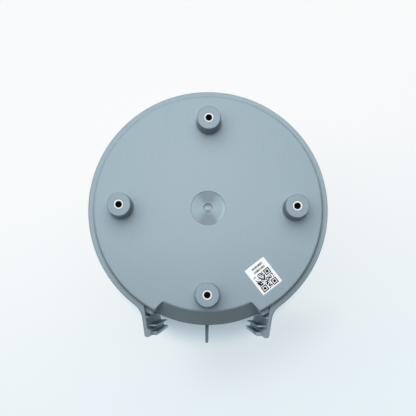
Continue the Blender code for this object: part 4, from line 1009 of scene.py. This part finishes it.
class HEAD_OT_shell(bpy.types.Operator):
    """Model the drum with its front wall, mouth, ears and rails"""

    bl_idname = "actuator_head.shell"
    bl_label = "Drum Shell"

    def drum(self, sizes):
        """Drum turned from its profile."""
        rim = sizes.rim_radius
        rim_z = sizes.rim_height
        bore = rim - SHELL_WALL
        seat = rim - RIM_WIDTH
        seat_z = rim_z - SEAT_DEPTH
        front = rim - DRAFT
        floor_corner = (bore - FLOOR_FILLET, FRONT_WALL + FLOOR_FILLET)
        profile = [(0.0, FRONT_WALL)]
        profile += arc(FLOOR_FILLET, -math.pi / 2, 0.0, 6, floor_corner)
        profile += [(bore, seat_z), (seat, seat_z)]
        profile += [(seat, rim_z - SEAT_CHAMFER), (seat + SEAT_CHAMFER, rim_z)]
        profile += arc(RIM_ROUND, math.pi / 2, 0.0, 6, (rim - RIM_ROUND, rim_z - RIM_ROUND))
        profile += arc(FRONT_EDGE, 0.0, -math.pi / 2, 10, (front - FRONT_EDGE, FRONT_EDGE))
        profile += [(0.0, 0.0)]
        return spun("drum_shell", profile, sizes.turning_steps)

    def mouth(self, shell, sizes):
        """Recess between the ears."""
        rim = sizes.rim_radius
        back = sizes.rim_height + RIM_STEP
        reach = rim + EAR_DROP + CUT_OVER
        mouth = ring_sector(rim - SHELL_WALL + MOUTH_WALL, reach, MOUTH_HALF_ANGLE, 48)
        skirt_bore = rim - RIM_WIDTH - SKIRT_WALL
        mouth_top = ring_sector(skirt_bore, reach, MOUTH_HALF_ANGLE + FIT / rim, 48)
        seat_z = sizes.rim_height - SEAT_DEPTH
        cut(
            shell,
            raised("mouth_cut", mouth, MOUTH_FRONT, back),
            raised("mouth_top_cut", mouth_top, seat_z, back),
        )

    def ears(self, shell, sizes):
        """Guide ears with their rails, ribs, gussets and ledges."""
        rim = sizes.rim_radius
        rim_z = sizes.rim_height
        bore = rim - SHELL_WALL
        rail, rib = rail_outlines(rim)
        half_web = (MOUTH_HALF_ANGLE - WEB_END_ANGLE) * 0.6
        web_outer = rim - WEB_INSET
        web_middle = DOWN - WEB_END_ANGLE - half_web
        web = ring_sector(web_outer - WEB_WALL, web_outer, half_web, 8, web_middle)
        low_web_low = -rim - EAR_DROP + LOW_WEB_HEIGHT
        low_web_high = low_web_low + LOW_WEB_WALL
        low_web_end = -EAR_HALF_SPREAD + LOW_WEB_REACH
        low_web = rounded([
            (-EAR_HALF_SPREAD - EAR_WALL, low_web_low, 0.0),
            (low_web_end, low_web_low, LOW_WEB_WALL / 3),
            (low_web_end, low_web_high, LOW_WEB_WALL / 3),
            (-EAR_HALF_SPREAD - EAR_WALL, low_web_high, 0.0),
        ])
        half_ledge = GUSSET_HALF_ANGLE - LEDGE_HALF_ANGLE
        ledge_top = bore + MOUTH_WALL + LEDGE_HEIGHT
        ledge = ring_sector(bore + MOUTH_WALL / 3, ledge_top, half_ledge, 8, DOWN - GUSSET_HALF_ANGLE)
        rail_end = rim_z - RAIL_DROP
        rail_start = 1.2 * EAR_FRONT
        web_start = 2 * EAR_FRONT
        ledge_start = 3 * EAR_FRONT
        for shape in (list, mirrored):
            ear = raised("ear", shape(ear_outline(rim)), EAR_FRONT, rim_z)
            soften(ear, self.on_ear_outside(rim, rim_z), RIM_ROUND, 6)
            add(
                shell,
                narrowed(ear, rim_z, rim),
                narrowed(raised("rail", shape(rail), rail_start, rail_end, EAR_EDGE), rim_z, rim),
                narrowed(raised("rib", shape(rib), rail_start, rail_end, EAR_EDGE), rim_z, rim),
                raised("web", shape(web), web_start, rim_z - WEB_DROP, EAR_EDGE),
                narrowed(raised("low_web", shape(low_web), web_start, rim_z - LOW_WEB_DROP), rim_z, rim),
                raised("ledge", shape(ledge), ledge_start, rim_z - LEDGE_DROP),
            )

    def on_ear_outside(self, rim, rim_z):
        """Test for the upper edges on an ear's outer side."""
        tip = -rim - EAR_DROP

        def test(edge):
            middle = (edge.verts[0].co + edge.verts[1].co) / 2
            core = EAR_HALF_SPREAD + (middle.y - tip) * math.tan(EAR_LEAN) - EAR_WALL / 2
            upper = all(vertex.co.z > rim_z - MERGE for vertex in edge.verts)
            past_rim = middle.xy.length > rim - MERGE * 100
            return upper and past_rim and abs(middle.x) > core and middle.y > tip + FOOT_ROUND

        return test

    def openings(self, shell, sizes):
        """Lever notch, cable inlet and screw counterbores."""
        rim = sizes.rim_radius
        bore = rim - SHELL_WALL
        seat_z = sizes.rim_height - SEAT_DEPTH
        skirt_bore = rim - RIM_WIDTH - SKIRT_WALL
        half_notch = LEVER_SWING + NOTCH_MARGIN / bore
        notch = ring_sector(skirt_bore, bore + MOUTH_WALL + CUT_OVER, half_notch, 32)
        notch_bottom = BLADE_TOP - BLADE_DEPTH - NOTCH_DROP
        cut(shell, raised("notch_cut", notch, notch_bottom, seat_z + CUT_OVER))
        inlet = cylinder("inlet_cut", GROMMET_HOLE_RADIUS, -INLET_CUT, INLET_CUT, 48)
        middle = (0.0, -bore - MOUTH_WALL / 2, GROMMET_HEIGHT)
        cut(shell, turned_over(inlet, math.pi / 2, "X", middle))
        boss_top = FRONT_WALL + CASE_BOSS_HEIGHT
        recess = CASE_HEAD_RADIUS + FIT
        bore_radius = CASE_SCREW_RADIUS + FIT
        hole = [(0.0, boss_top + CUT_OVER), (bore_radius, boss_top + CUT_OVER), (bore_radius, CASE_RECESS)]
        hole += [(recess, CASE_RECESS), (recess, SEAT_EDGE), (recess + SEAT_EDGE + CUT_OVER, -CUT_OVER)]
        hole += [(0.0, -CUT_OVER)]
        for centre in quarter_points(POST_CIRCLE, math.pi / 4):
            add(shell, cylinder("case_boss", CASE_BOSS_RADIUS, FRONT_WALL / 2, boss_top, 40, centre))
            cut(shell, spun("case_hole", hole, 40, centre))

    def execute(self, context):
        sizes = head_sizes()
        shell = self.drum(sizes)
        self.mouth(shell, sizes)
        self.ears(shell, sizes)
        self.openings(shell, sizes)
        smooth(shell)
        dress(shell, housing_finish("shell_plastic", 1.02), "housing", "housing_plastic", "front_shell")
        return {"FINISHED"}


class HEAD_OT_back_plate(bpy.types.Operator):
    """Model the back plate with its facet, gate mark, stand-offs and posts"""

    bl_idname = "actuator_head.back_plate"
    bl_label = "Back Plate"

    def disc(self, sizes):
        """Plate with its skirt and rear bearing, turned from its profile."""
        back = sizes.rim_height + RIM_STEP
        under = back - PLATE_THICKNESS
        plate_radius = sizes.rim_radius - RIM_WIDTH - PLATE_GAP
        skirt_bore = sizes.rim_radius - RIM_WIDTH - SKIRT_WALL
        skirt_end = sizes.rim_height - SEAT_DEPTH + FIT
        floor = back - DISH_DEPTH
        dimple = floor - DIMPLE_DEPTH
        bearing_z = under - BEARING_BOSS_DEPTH
        nib_top = dimple + NIB_HEIGHT
        profile = [(0.0, nib_top), (NIB_RADIUS * 0.6, nib_top - NIB_HEIGHT * 0.2), (NIB_RADIUS, dimple)]
        profile += [(DIMPLE_RADIUS - DIMPLE_DEPTH, dimple), (DIMPLE_RADIUS, floor)]
        profile += [(sizes.dish_radius - DISH_STEP, back - DISH_STEP * 1.6), (sizes.dish_radius, back)]
        edge = (plate_radius - PLATE_EDGE, back - PLATE_EDGE)
        profile += arc(PLATE_EDGE, math.pi / 2, 0.0, 5, edge)
        profile += [(plate_radius, skirt_end), (skirt_bore, skirt_end), (skirt_bore, under)]
        profile += [(BEARING_BOSS_RADIUS, under), (BEARING_BOSS_RADIUS, bearing_z)]
        profile += [(BEARING_BORE, bearing_z), (BEARING_BORE, under), (0.0, under)]
        return spun("rear_plate", profile, sizes.turning_steps)

    def facet(self, plate, sizes):
        """Sloping facet over the mouth, with an even wall under it."""
        back = sizes.rim_height + RIM_STEP
        rim = sizes.rim_radius
        mouth = rim - SHELL_WALL + MOUTH_WALL
        skirt_end = sizes.rim_height - SEAT_DEPTH + FIT
        skirt_bore = rim - RIM_WIDTH - SKIRT_WALL
        lip_z = back - FACET_DEPTH
        block = ring_sector(FACET_RADIUS * 0.9, mouth, FACET_BLOCK_ANGLE, 36)
        add(plate, raised("facet_block", block, skirt_end, back - PLATE_EDGE))
        corner_y = -math.sqrt(FACET_RADIUS ** 2 - FACET_HALF_WIDTH ** 2)
        spread = rim - FACET_RADIUS + CUT_OVER
        turn = math.atan2(corner_y, FACET_HALF_WIDTH)
        dip = math.atan2(FACET_DEPTH, mouth - FACET_RADIUS)
        brow_radius = FACET_RADIUS - math.tan(dip / 2) * FACET_EDGE
        near = polar(brow_radius - FIT, turn - 2 * FACET_CORNER / FACET_RADIUS)
        plan = rounded([
            (-FACET_HALF_WIDTH, corner_y, FACET_CORNER),
            (-FACET_HALF_WIDTH - spread, corner_y - spread, 0.0),
            (0.0, -rim - spread, 0.0),
            (FACET_HALF_WIDTH + spread, corner_y - spread, 0.0),
            (FACET_HALF_WIDTH, corner_y, FACET_CORNER),
            (near[0], near[1], 0.0),
            (0.0, corner_y + CUT_OVER, 0.0),
            (-near[0], near[1], 0.0),
        ])
        slope = (mouth - FACET_RADIUS) / FACET_DEPTH
        over = back + CUT_OVER
        # The rounds reach a little past the face and the wall, so that the cut meets both at a clear angle.
        brow = (brow_radius, back + ROUND_OVER - FACET_EDGE)
        lip_tangent = math.tan((math.pi / 2 - dip) / 2) * FACET_LIP
        lip = (mouth + ROUND_OVER - FACET_LIP, lip_z - lip_tangent)
        cone = [(0.0, over), (brow[0], over)]
        cone += arc(FACET_EDGE, math.pi / 2, math.pi / 2 - dip, 8, brow)
        cone += arc(FACET_LIP, math.pi / 2 - dip, 0.0, 8, lip)
        cone += [(mouth + ROUND_OVER, lip_z - FACET_LIP), (0.0, lip_z - FACET_LIP)]
        wedge = raised("facet_wedge", plan, lip_z - FACET_LIP / 2, over - CUT_OVER / 2)
        flared(wedge, 1 - FACET_END_DRAFT / FACET_HALF_WIDTH, lip_z)
        cut(wedge, spun("facet_cone", cone, sizes.turning_steps))
        lean = math.atan(slope)
        inner = FACET_RADIUS - FACET_WALL * math.cos(lean)
        inner_z = back - FACET_WALL * math.sin(lean)
        under = back - PLATE_THICKNESS
        low = skirt_end - FIT - CUT_OVER
        start = FACET_RADIUS / 2
        ring = [(start, under), (inner + (inner_z - under) * slope, under)]
        ring += [(skirt_bore, inner_z - (skirt_bore - inner) / slope), (skirt_bore, low)]
        ring += [(start, low), (start, under)]
        window = ring_sector(start - CUT_OVER, rim, FACET_HOLLOW_ANGLE, 24)
        hollow = spun("facet_hollow", ring, sizes.turning_steps)
        keep_inside(hollow, raised("facet_window", window, low - CUT_OVER, back))
        cut(plate, wedge, hollow)

    def standoffs(self, plate, sizes):
        """Stand-offs with their insert pockets, drafted and filleted into the plate."""
        back = sizes.rim_height + RIM_STEP
        top = back + sizes.standoff_height
        radius = sizes.standoff_radius
        foot = radius + STANDOFF_DRAFT + STANDOFF_FILLET
        pocket = sizes.insert_radius + INSERT_FIT
        pocket_floor = top - INSERT_LENGTH - INSERT_FIT
        profile = [(0.0, pocket_floor), (pocket, pocket_floor), (pocket, top)]
        edge = (radius - STANDOFF_EDGE, top - STANDOFF_EDGE)
        profile += arc(STANDOFF_EDGE, math.pi / 2, 0.0, 4, edge)
        profile += arc(STANDOFF_FILLET, math.pi, math.pi * 1.5, 8, (foot, back + STANDOFF_FILLET))
        root = back - PLATE_THICKNESS / 2
        profile += [(foot, root), (0.0, root)]
        for centre in quarter_points(sizes.standoff_circle, 0.0):
            add(plate, spun("standoff", profile, 72, centre))

    def posts(self, plate, sizes):
        """Posts that the chassis seats on, with their ribs."""
        under = sizes.rim_height + RIM_STEP - PLATE_THICKNESS
        top = under + PLATE_THICKNESS / 2
        room_top = POST_END + POST_ROOM
        profile = [(0.0, top), (POST_RADIUS, top), (POST_RADIUS, POST_END), (POST_ROOM_RADIUS, POST_END)]
        profile += [(POST_ROOM_RADIUS, room_top), (0.0, room_top)]
        start = (BEARING_BORE + BEARING_BOSS_RADIUS) / 2
        half = PLATE_RIB_WIDTH / 2
        for centre in quarter_points(POST_CIRCLE, math.pi / 4):
            angle = math.atan2(centre[1], centre[0])
            near = polar(start, angle)
            right = angle - math.pi / 2
            left = angle + math.pi / 2
            outline = [step_from(near, half, right), step_from(centre, half, right)]
            outline += [step_from(centre, half, left), step_from(near, half, left)]
            rib = raised("plate_rib", outline, under - PLATE_RIB_HEIGHT, top)
            add(plate, rib, spun("post", profile, 36, centre))

    def execute(self, context):
        sizes = head_sizes()
        plate = self.disc(sizes)
        self.facet(plate, sizes)
        self.standoffs(plate, sizes)
        self.posts(plate, sizes)
        smooth(plate)
        material = housing_finish("plate_plastic", with_face_marks=True)
        dress(plate, material, "housing", "housing_plastic", "back_plate")
        return {"FINISHED"}


class HEAD_OT_inserts(bpy.types.Operator):
    """Model the threaded inserts in the stand-offs"""

    bl_idname = "actuator_head.inserts"
    bl_label = "Threaded Inserts"

    def execute(self, context):
        sizes = head_sizes()
        top = sizes.rim_height + RIM_STEP + sizes.standoff_height
        bottom = top - INSERT_LENGTH
        top -= INSERT_BELOW
        radius = sizes.insert_radius
        bore = sizes.insert_bore
        floor = bottom + bore
        crest = top - INSERT_CHAMFER
        profile = [(0.0, floor), (bore, floor)]
        turns = int((crest - floor) / THREAD_PITCH)
        for turn in range(turns):
            root_z = floor + (turn + 0.5) * THREAD_PITCH
            profile += [(bore + THREAD_DEPTH, root_z), (bore, root_z + THREAD_PITCH / 2)]
        profile += [(bore, crest), (bore + INSERT_CHAMFER, top), (radius - INSERT_CHAMFER / 2, top)]
        profile += [(radius, top - INSERT_CHAMFER / 2), (radius, bottom), (0.0, bottom)]
        material = insert_metal("insert_metal", head_colours().insert, sizes, top)
        nodes = ("insert_right", "insert_top", "insert_left", "insert_bottom")
        for node, centre in zip(nodes, quarter_points(sizes.standoff_circle, 0.0)):
            insert = spun(node.replace("insert", "threaded_insert"), profile, 48, centre)
            smooth(insert)
            dress(insert, material, "housing", "insert_metal", node)
        return {"FINISHED"}


class HEAD_OT_lever(bpy.types.Operator):
    """Model the output lever with its hub, arm, dust shield and blade"""

    bl_idname = "actuator_head.lever"
    bl_label = "Output Lever"

    def execute(self, context):
        sizes = head_sizes()
        bore = sizes.rim_radius - SHELL_WALL
        hub_top = HUB_BOTTOM + HUB_HEIGHT
        hub = [(0.0, hub_top), (HUB_RADIUS - EAR_EDGE, hub_top), (HUB_RADIUS, hub_top - EAR_EDGE)]
        hub += [(HUB_RADIUS, HUB_BOTTOM + EAR_EDGE), (HUB_RADIUS - EAR_EDGE, HUB_BOTTOM), (0.0, HUB_BOTTOM)]
        lever = spun("swing_lever", hub, 48)
        shield_radius = bore - SHIELD_WALL
        shield_inner = shield_radius - SHIELD_WALL
        arm_end = shield_radius - SHIELD_WALL / 2
        blade_bottom = BLADE_TOP - BLADE_DEPTH
        side = [(hub_top, 0.0), (HUB_BOTTOM, 0.0), (HUB_BOTTOM - HUB_HEIGHT * 0.3, -arm_end * 0.55)]
        side += [(blade_bottom, -arm_end), (BLADE_TOP, -arm_end)]
        arm = draw_chain("lever_arm", [(-ARM_WIDTH / 2, y, z) for z, y in side])
        bpy.ops.mesh.edge_face_add()
        bpy.ops.mesh.extrude_region_move(TRANSFORM_OT_translate={"value": (ARM_WIDTH, 0.0, 0.0)})
        close_mesh()
        half_notch = LEVER_SWING + NOTCH_MARGIN / bore
        shield_outline = ring_sector(shield_inner, shield_radius, half_notch + LEVER_SWING, 48)
        shield_low = blade_bottom - NOTCH_DROP - SHIELD_LAP
        shield = raised("lever_shield", shield_outline, shield_low, BLADE_TOP + SHIELD_LAP / 2)
        tip = BLADE_TIP / 2
        blade_outline = [(-BLADE_ROOT / 2, -shield_inner), (BLADE_ROOT / 2, -shield_inner)]
        blade_outline += arc(tip, 0.0, -math.pi, 12, (0.0, -BLADE_REACH + tip))
        blade = raised("lever_blade", blade_outline, blade_bottom, BLADE_TOP, BLADE_EDGE)
        shaft_outline = double_d(HUB_BORE, HUB_FLAT)
        shaft = raised("lever_bore", shaft_outline, HUB_BOTTOM - CUT_OVER, hub_top + CUT_OVER)
        add(lever, arm, shield, blade)
        cut(lever, shaft)
        smooth(lever)
        # Painted shade: the lever at half the housing's lightness, for the drum's shadow it lies in.
        dress(lever, housing_finish("lever_plastic_painted_shade", 0.5), "output", "housing_plastic", "output_lever")
        return {"FINISHED"}


class HEAD_OT_grommet(bpy.types.Operator):
    """Model the blind cable grommet in the wall behind the lever"""

    bl_idname = "actuator_head.grommet"
    bl_label = "Cable Grommet"

    def execute(self, context):
        sizes = head_sizes()
        bore = sizes.rim_radius - SHELL_WALL
        mouth = bore + MOUTH_WALL
        groove = GROMMET_HOLE_RADIUS - FIT
        lip = GROMMET_HOLE_RADIUS + GROMMET_LIP
        bow = mouth - math.sqrt(mouth ** 2 - lip ** 2)
        half_groove = MOUTH_WALL / 2 + bow + FIT
        outer = half_groove + GROMMET_LIP_WALL
        inner = groove - GROMMET_LIP_WALL
        half_skin = GROMMET_MEMBRANE / 2
        round_lip = GROMMET_LIP_WALL / 2
        nipple_top, nipple_foot = GROMMET_NIPPLE
        ring_start, ring_top, ring_end = GROMMET_RING
        profile = [(0.0, half_skin * 1.8), (nipple_top, half_skin * 1.8), (nipple_foot, half_skin)]
        profile += [(ring_start, half_skin), (ring_top, half_skin * 1.6), (ring_end, half_skin)]
        profile += [(inner - round_lip, half_skin), (inner, half_skin + round_lip)]
        profile += [(inner, outer - round_lip / 2), (inner + round_lip / 2, outer)]
        profile += arc(round_lip, math.pi / 2, 0.0, 6, (lip - round_lip, outer - round_lip))
        profile += [(lip, half_groove), (groove, half_groove), (groove, -half_groove), (lip, -half_groove)]
        profile += [(lip, -outer), (inner, -outer), (inner, -half_skin), (0.0, -half_skin)]
        grommet = spun("cable_plug", profile, 64)
        turned_over(grommet, math.pi / 2, "X", (0.0, -bore - MOUTH_WALL / 2, GROMMET_HEIGHT))
        smooth(grommet)
        material = plain_plastic("grommet_rubber", head_colours().rubber, 0.62, 2600.0)
        dress(grommet, material, "housing", "inlet_rubber", "cable_grommet")
        return {"FINISHED"}


class HEAD_OT_case_screws(bpy.types.Operator):
    """Model the cross-recessed screws in the front wall"""

    bl_idname = "actuator_head.case_screws"
    bl_label = "Case Screws"

    def execute(self, context):
        seat = CASE_RECESS - FIT
        face = seat - CASE_HEAD_HEIGHT
        end = seat + CASE_SCREW_LENGTH
        bulge = CASE_HEAD_RADIUS * 0.5
        dome = arc(bulge, -math.pi / 2, 0.0, 8, (bulge, face + bulge))
        thread_end = end - CASE_SCREW_RADIUS * 0.5
        groove = CASE_SCREW_RADIUS - THREAD_DEPTH
        profile = [(0.0, end), (CASE_SCREW_RADIUS * 0.6, end), (CASE_SCREW_RADIUS, thread_end)]
        turns = int((CASE_SCREW_LENGTH - 2 * CASE_SCREW_RADIUS) / THREAD_PITCH)
        for turn in range(turns):
            root_z = thread_end - (turn + 0.5) * THREAD_PITCH
            profile += [(groove, root_z), (CASE_SCREW_RADIUS, root_z - THREAD_PITCH / 2)]
        profile += [(CASE_SCREW_RADIUS, seat), (CASE_HEAD_RADIUS, seat)]
        profile += list(reversed(dome)) + [(0.0, face)]
        material = turned_metal("screw_steel", head_colours().steel, 0.26)
        nodes = ("upper_right", "upper_left", "lower_left", "lower_right")
        reach = CASE_HEAD_RADIUS * 0.6
        narrow = reach * 0.3
        for node, centre in zip(nodes, quarter_points(POST_CIRCLE, math.pi / 4)):
            body = spun("front_screw_" + node, profile, 48, centre)
            for wide, deep in ((reach, narrow), (narrow, reach)):
                slot = [(-wide, -deep), (wide, -deep), (wide, deep), (-wide, deep)]
                slot = [(centre[0] + x, centre[1] + y) for x, y in slot]
                cut(body, raised("cross_recess", slot, face - CUT_OVER, face + CASE_HEAD_HEIGHT / 2))
            smooth(body)
            dress(body, material, "housing", "plated_steel", "case_screw_" + node)
        return {"FINISHED"}


class HEAD_OT_sticker(bpy.types.Operator):
    """Lay the sticker on the back face"""

    bl_idname = "actuator_head.sticker"
    bl_label = "Sticker"

    def execute(self, context):
        sizes = head_sizes()
        back = sizes.rim_height + RIM_STEP
        half_long = sizes.label_length / 2
        half_wide = sizes.label_width / 2
        corners = [(half_long, half_wide), (-half_long, half_wide)]
        corners += [(-half_long, -half_wide), (half_long, -half_wide)]
        outline = rounded([(x, y, LABEL_CORNER) for x, y in corners], 6)
        place = Vector(sizes.label_centre)
        turn = Matrix.Rotation(sizes.label_turn, 2)
        turned = [tuple(place + turn @ Vector(point)) for point in outline]
        bottom = back - LABEL_THICKNESS / 4
        label = raised("back_sticker", turned, bottom, back + LABEL_THICKNESS, LABEL_THICKNESS / 3)
        smooth(label)
        colours = head_colours()
        material = sticker_paper("sticker_paper", colours.paper, colours.ink, place, sizes.label_turn)
        dress(label, material, "housing", "housing_plastic")
        return {"FINISHED"}


class HEAD_OT_drive_finish(bpy.types.Operator):
    """Give the solids of the drive inside their finishes"""

    bl_idname = "actuator_head.drive_finish"
    bl_label = "Drive Finishes"

    def execute(self, context):
        colours = head_colours()
        finishes = {
            "plated_steel": turned_metal("plated_steel_finish", colours.steel, 0.30),
            "bush_bronze": turned_metal("bush_bronze_finish", colours.bronze, 0.34),
            "gear_plastic": plain_plastic("gear_plastic_finish", colours.gear, 0.42),
            "dark_plastic": plain_plastic("dark_plastic_finish", colours.dark, 0.42),
            "terminal_plastic": plain_plastic("terminal_plastic_finish", colours.terminal, 0.46),
            "board_laminate": board_laminate("board_laminate_finish", colours.board),
        }
        for subpart in FRAME["record"]["subparts"]:
            node = FRAME["nodes"][subpart["node"]]
            slot = subpart["material_slot"]
            if node.hide_render or slot not in finishes:
                continue
            node.data.materials.clear()
            node.data.materials.append(finishes[slot])
        return {"FINISHED"}


class HEAD_OT_stage(bpy.types.Operator):
    """Lay the floor, hang the lamps and set the camera"""

    bl_idname = "actuator_head.stage"
    bl_label = "Studio Stage"

    def floor(self, colour, paleness):
        """Pale table under the head, which looks lighter to the camera than the light on it and has painted
        shadow.
        """
        clear_selection()
        bpy.ops.mesh.primitive_plane_add(size=6.0, location=(0.0, 0.0, -FIT))
        floor = bpy.context.active_object
        floor.name = "studio_floor"
        finish = Finish("studio_floor_paint")
        place = finish.place()
        cloud = finish.noise(place, scale=3.0, detail=2.0)
        tone = finish.mix(cloud, shade(colour, 0.995), shade(colour, 1.005))
        finish.set(Base_Color=tone, Roughness=0.85, Specular_IOR_Level=0.1)
        seen = finish.seen()
        x, y = finish.split(place)[:2]
        far = finish.ramp(y - x * FLOOR_SLANT, *FLOOR_FAR)
        outside = finish.ramp(abs(x), *BESIDE_MOUTH).larger(finish.ramp(y, *BEHIND_MOUTH))
        radius = (x * x + y * y).root()
        clear = finish.ramp(radius, CONTACT_RADIUS, CONTACT_END - outside * CONTACT_TIGHTER)
        lower_right = finish.ramp(x, *SHADE_RIGHT) * finish.ramp(y, *SHADE_LOWER)
        shaded = lower_right * finish.ramp(radius, *SHADE_REACH)
        # Painted shade: the floor darker towards the bottom, and painted shadow of the drum to its lower
        # right.
        open_floor = finish.mix(shaded, finish.mix(far, LOW_FLOOR_SHADE, WHITE), DRUM_SHADE)
        # Painted shadow of the drum close to its foot and in its mouth.
        white = finish.mix(clear, NEAR_FLOOR_SHADOW, open_floor)
        glow = finish.node("ShaderNodeEmission", {}, {"Color": white, "Strength": 1.0})
        paint = Value(finish, finish.surface.outputs[0])
        share = seen * paleness * (CONTACT_SHARE + clear * (1 - CONTACT_SHARE))
        both = finish.node("ShaderNodeMixShader", {}, {0: share, 1: paint, 2: glow})
        finish.feed(finish.tree.nodes["Material Output"].inputs["Surface"], both)
        floor.data.materials.append(finish.material)

    def sky(self, strength):
        """Even light, which looks white to the camera and in metal."""
        world = bpy.data.worlds.new("studio_sky")
        bpy.context.scene.world = world
        world.use_nodes = True
        finish = Finish(world)
        seen = finish.seen()
        sky = world.node_tree.nodes["Background"]
        sky.inputs["Color"].default_value = SKY_TINT
        finish.feed(sky.inputs["Strength"], seen + (1 - seen) * strength)

    def lamp(self, name, place, target, size, power, sheen=False):
        """Soft lamp that points at a place, and lights things or only shows as a sheen on them."""
        light = bpy.data.lights.new(name, "AREA")
        light.shape = "DISK"
        light.size = size
        light.energy = power
        light.color = LAMP_TINT
        lamp = bpy.data.objects.new(name, light)
        lamp.location = place
        lamp.rotation_euler = (Vector(target) - Vector(place)).to_track_quat("-Z", "Y").to_euler()
        lamp.visible_diffuse = not sheen
        lamp.visible_glossy = sheen
        lamp.visible_camera = False
        bpy.context.scene.collection.objects.link(lamp)
        return lamp

    def camera(self, stage, back):
        """Camera above the back face, leaning towards the mouth."""
        lens = bpy.data.cameras.new("studio_camera")
        lens.lens = stage.lens
        lens.sensor_width = 36.0
        lens.clip_start = 0.01
        lens.clip_end = 50.0
        camera = bpy.data.objects.new("studio_camera", lens)
        tilt = stage.camera_tilt
        away = Vector((0.0, -math.sin(tilt), math.cos(tilt))) * stage.camera_distance
        camera.location = Vector((0.0, 0.0, back)) + away
        camera.rotation_euler = (-away).to_track_quat("-Z", "Y").to_euler()
        camera.rotation_euler.rotate_axis("Z", stage.camera_roll)
        bpy.context.scene.collection.objects.link(camera)
        bpy.context.scene.camera = camera

    def execute(self, context):
        stage = context.scene.actuator_head_stage
        sizes = head_sizes()
        back = sizes.rim_height + RIM_STEP
        self.floor(head_colours().floor, stage.paleness)
        self.sky(stage.sky)
        middle = (0.0, 0.0, back)
        self.lamp("key_lamp", KEY_PLACE, middle, KEY_SIZE, stage.key)
        self.lamp("fill_lamp", FILL_PLACE, middle, FILL_SIZE, stage.fill)
        sheen = self.lamp("sheen_lamp", SHEEN_PLACE, middle, SHEEN_SIZE, stage.sheen, True)
        plastic = bpy.data.collections.new("sheen_receivers")
        for name in ("drum_shell", "rear_plate", "back_sticker"):
            plastic.objects.link(bpy.data.objects[name])
        sheen.light_linking.receiver_collection = plastic
        reach = sizes.rim_radius * BOUNCE_REACH
        bounce_place = (0.0, -reach, BOUNCE_HEIGHT)
        self.lamp("bounce_lamp", bounce_place, (0.0, -reach, back), BOUNCE_SIZE, stage.bounce)
        self.camera(stage, back)
        context.scene.view_settings.view_transform = "Standard"
        return {"FINISHED"}


STEPS = (
    HEAD_OT_shell,
    HEAD_OT_back_plate,
    HEAD_OT_inserts,
    HEAD_OT_lever,
    HEAD_OT_grommet,
    HEAD_OT_case_screws,
    HEAD_OT_sticker,
    HEAD_OT_drive_finish,
    HEAD_OT_stage,
)


class HEAD_PT_panel(bpy.types.Panel):
    """Lists the head's sizes, colours and steps"""

    bl_idname = "HEAD_PT_panel"
    bl_label = "Actuator Head"
    bl_space_type = "VIEW_3D"
    bl_region_type = "UI"
    bl_category = "Actuator Head"

    def draw(self, context):
        layout = self.layout
        scene = context.scene
        for group in (scene.actuator_head_sizes, scene.actuator_head_colours, scene.actuator_head_stage):
            box = layout.box()
            for name in group.__annotations__:
                box.prop(group, name)
        for step in STEPS:
            layout.operator(step.bl_idname)


CLASSES = (HeadSizes, HeadColours, HeadStage, *STEPS, HEAD_PT_panel)


def register():
    """Register the classes and their settings."""
    for kind in CLASSES:
        bpy.utils.register_class(kind)
    bpy.types.Scene.actuator_head_sizes = PointerProperty(type=HeadSizes)
    bpy.types.Scene.actuator_head_colours = PointerProperty(type=HeadColours)
    bpy.types.Scene.actuator_head_stage = PointerProperty(type=HeadStage)


def unregister():
    """Remove the settings and the classes."""
    del bpy.types.Scene.actuator_head_stage
    del bpy.types.Scene.actuator_head_colours
    del bpy.types.Scene.actuator_head_sizes
    for kind in reversed(CLASSES):
        bpy.utils.unregister_class(kind)


def main():
    """Make every piece and the stage."""
    register()
    bpy.ops.actuator_head.shell()
    bpy.ops.actuator_head.back_plate()
    bpy.ops.actuator_head.inserts()
    bpy.ops.actuator_head.lever()
    bpy.ops.actuator_head.grommet()
    bpy.ops.actuator_head.case_screws()
    bpy.ops.actuator_head.sticker()
    bpy.ops.actuator_head.drive_finish()
    bpy.ops.actuator_head.stage()


if __name__ == "__main__":
    main()
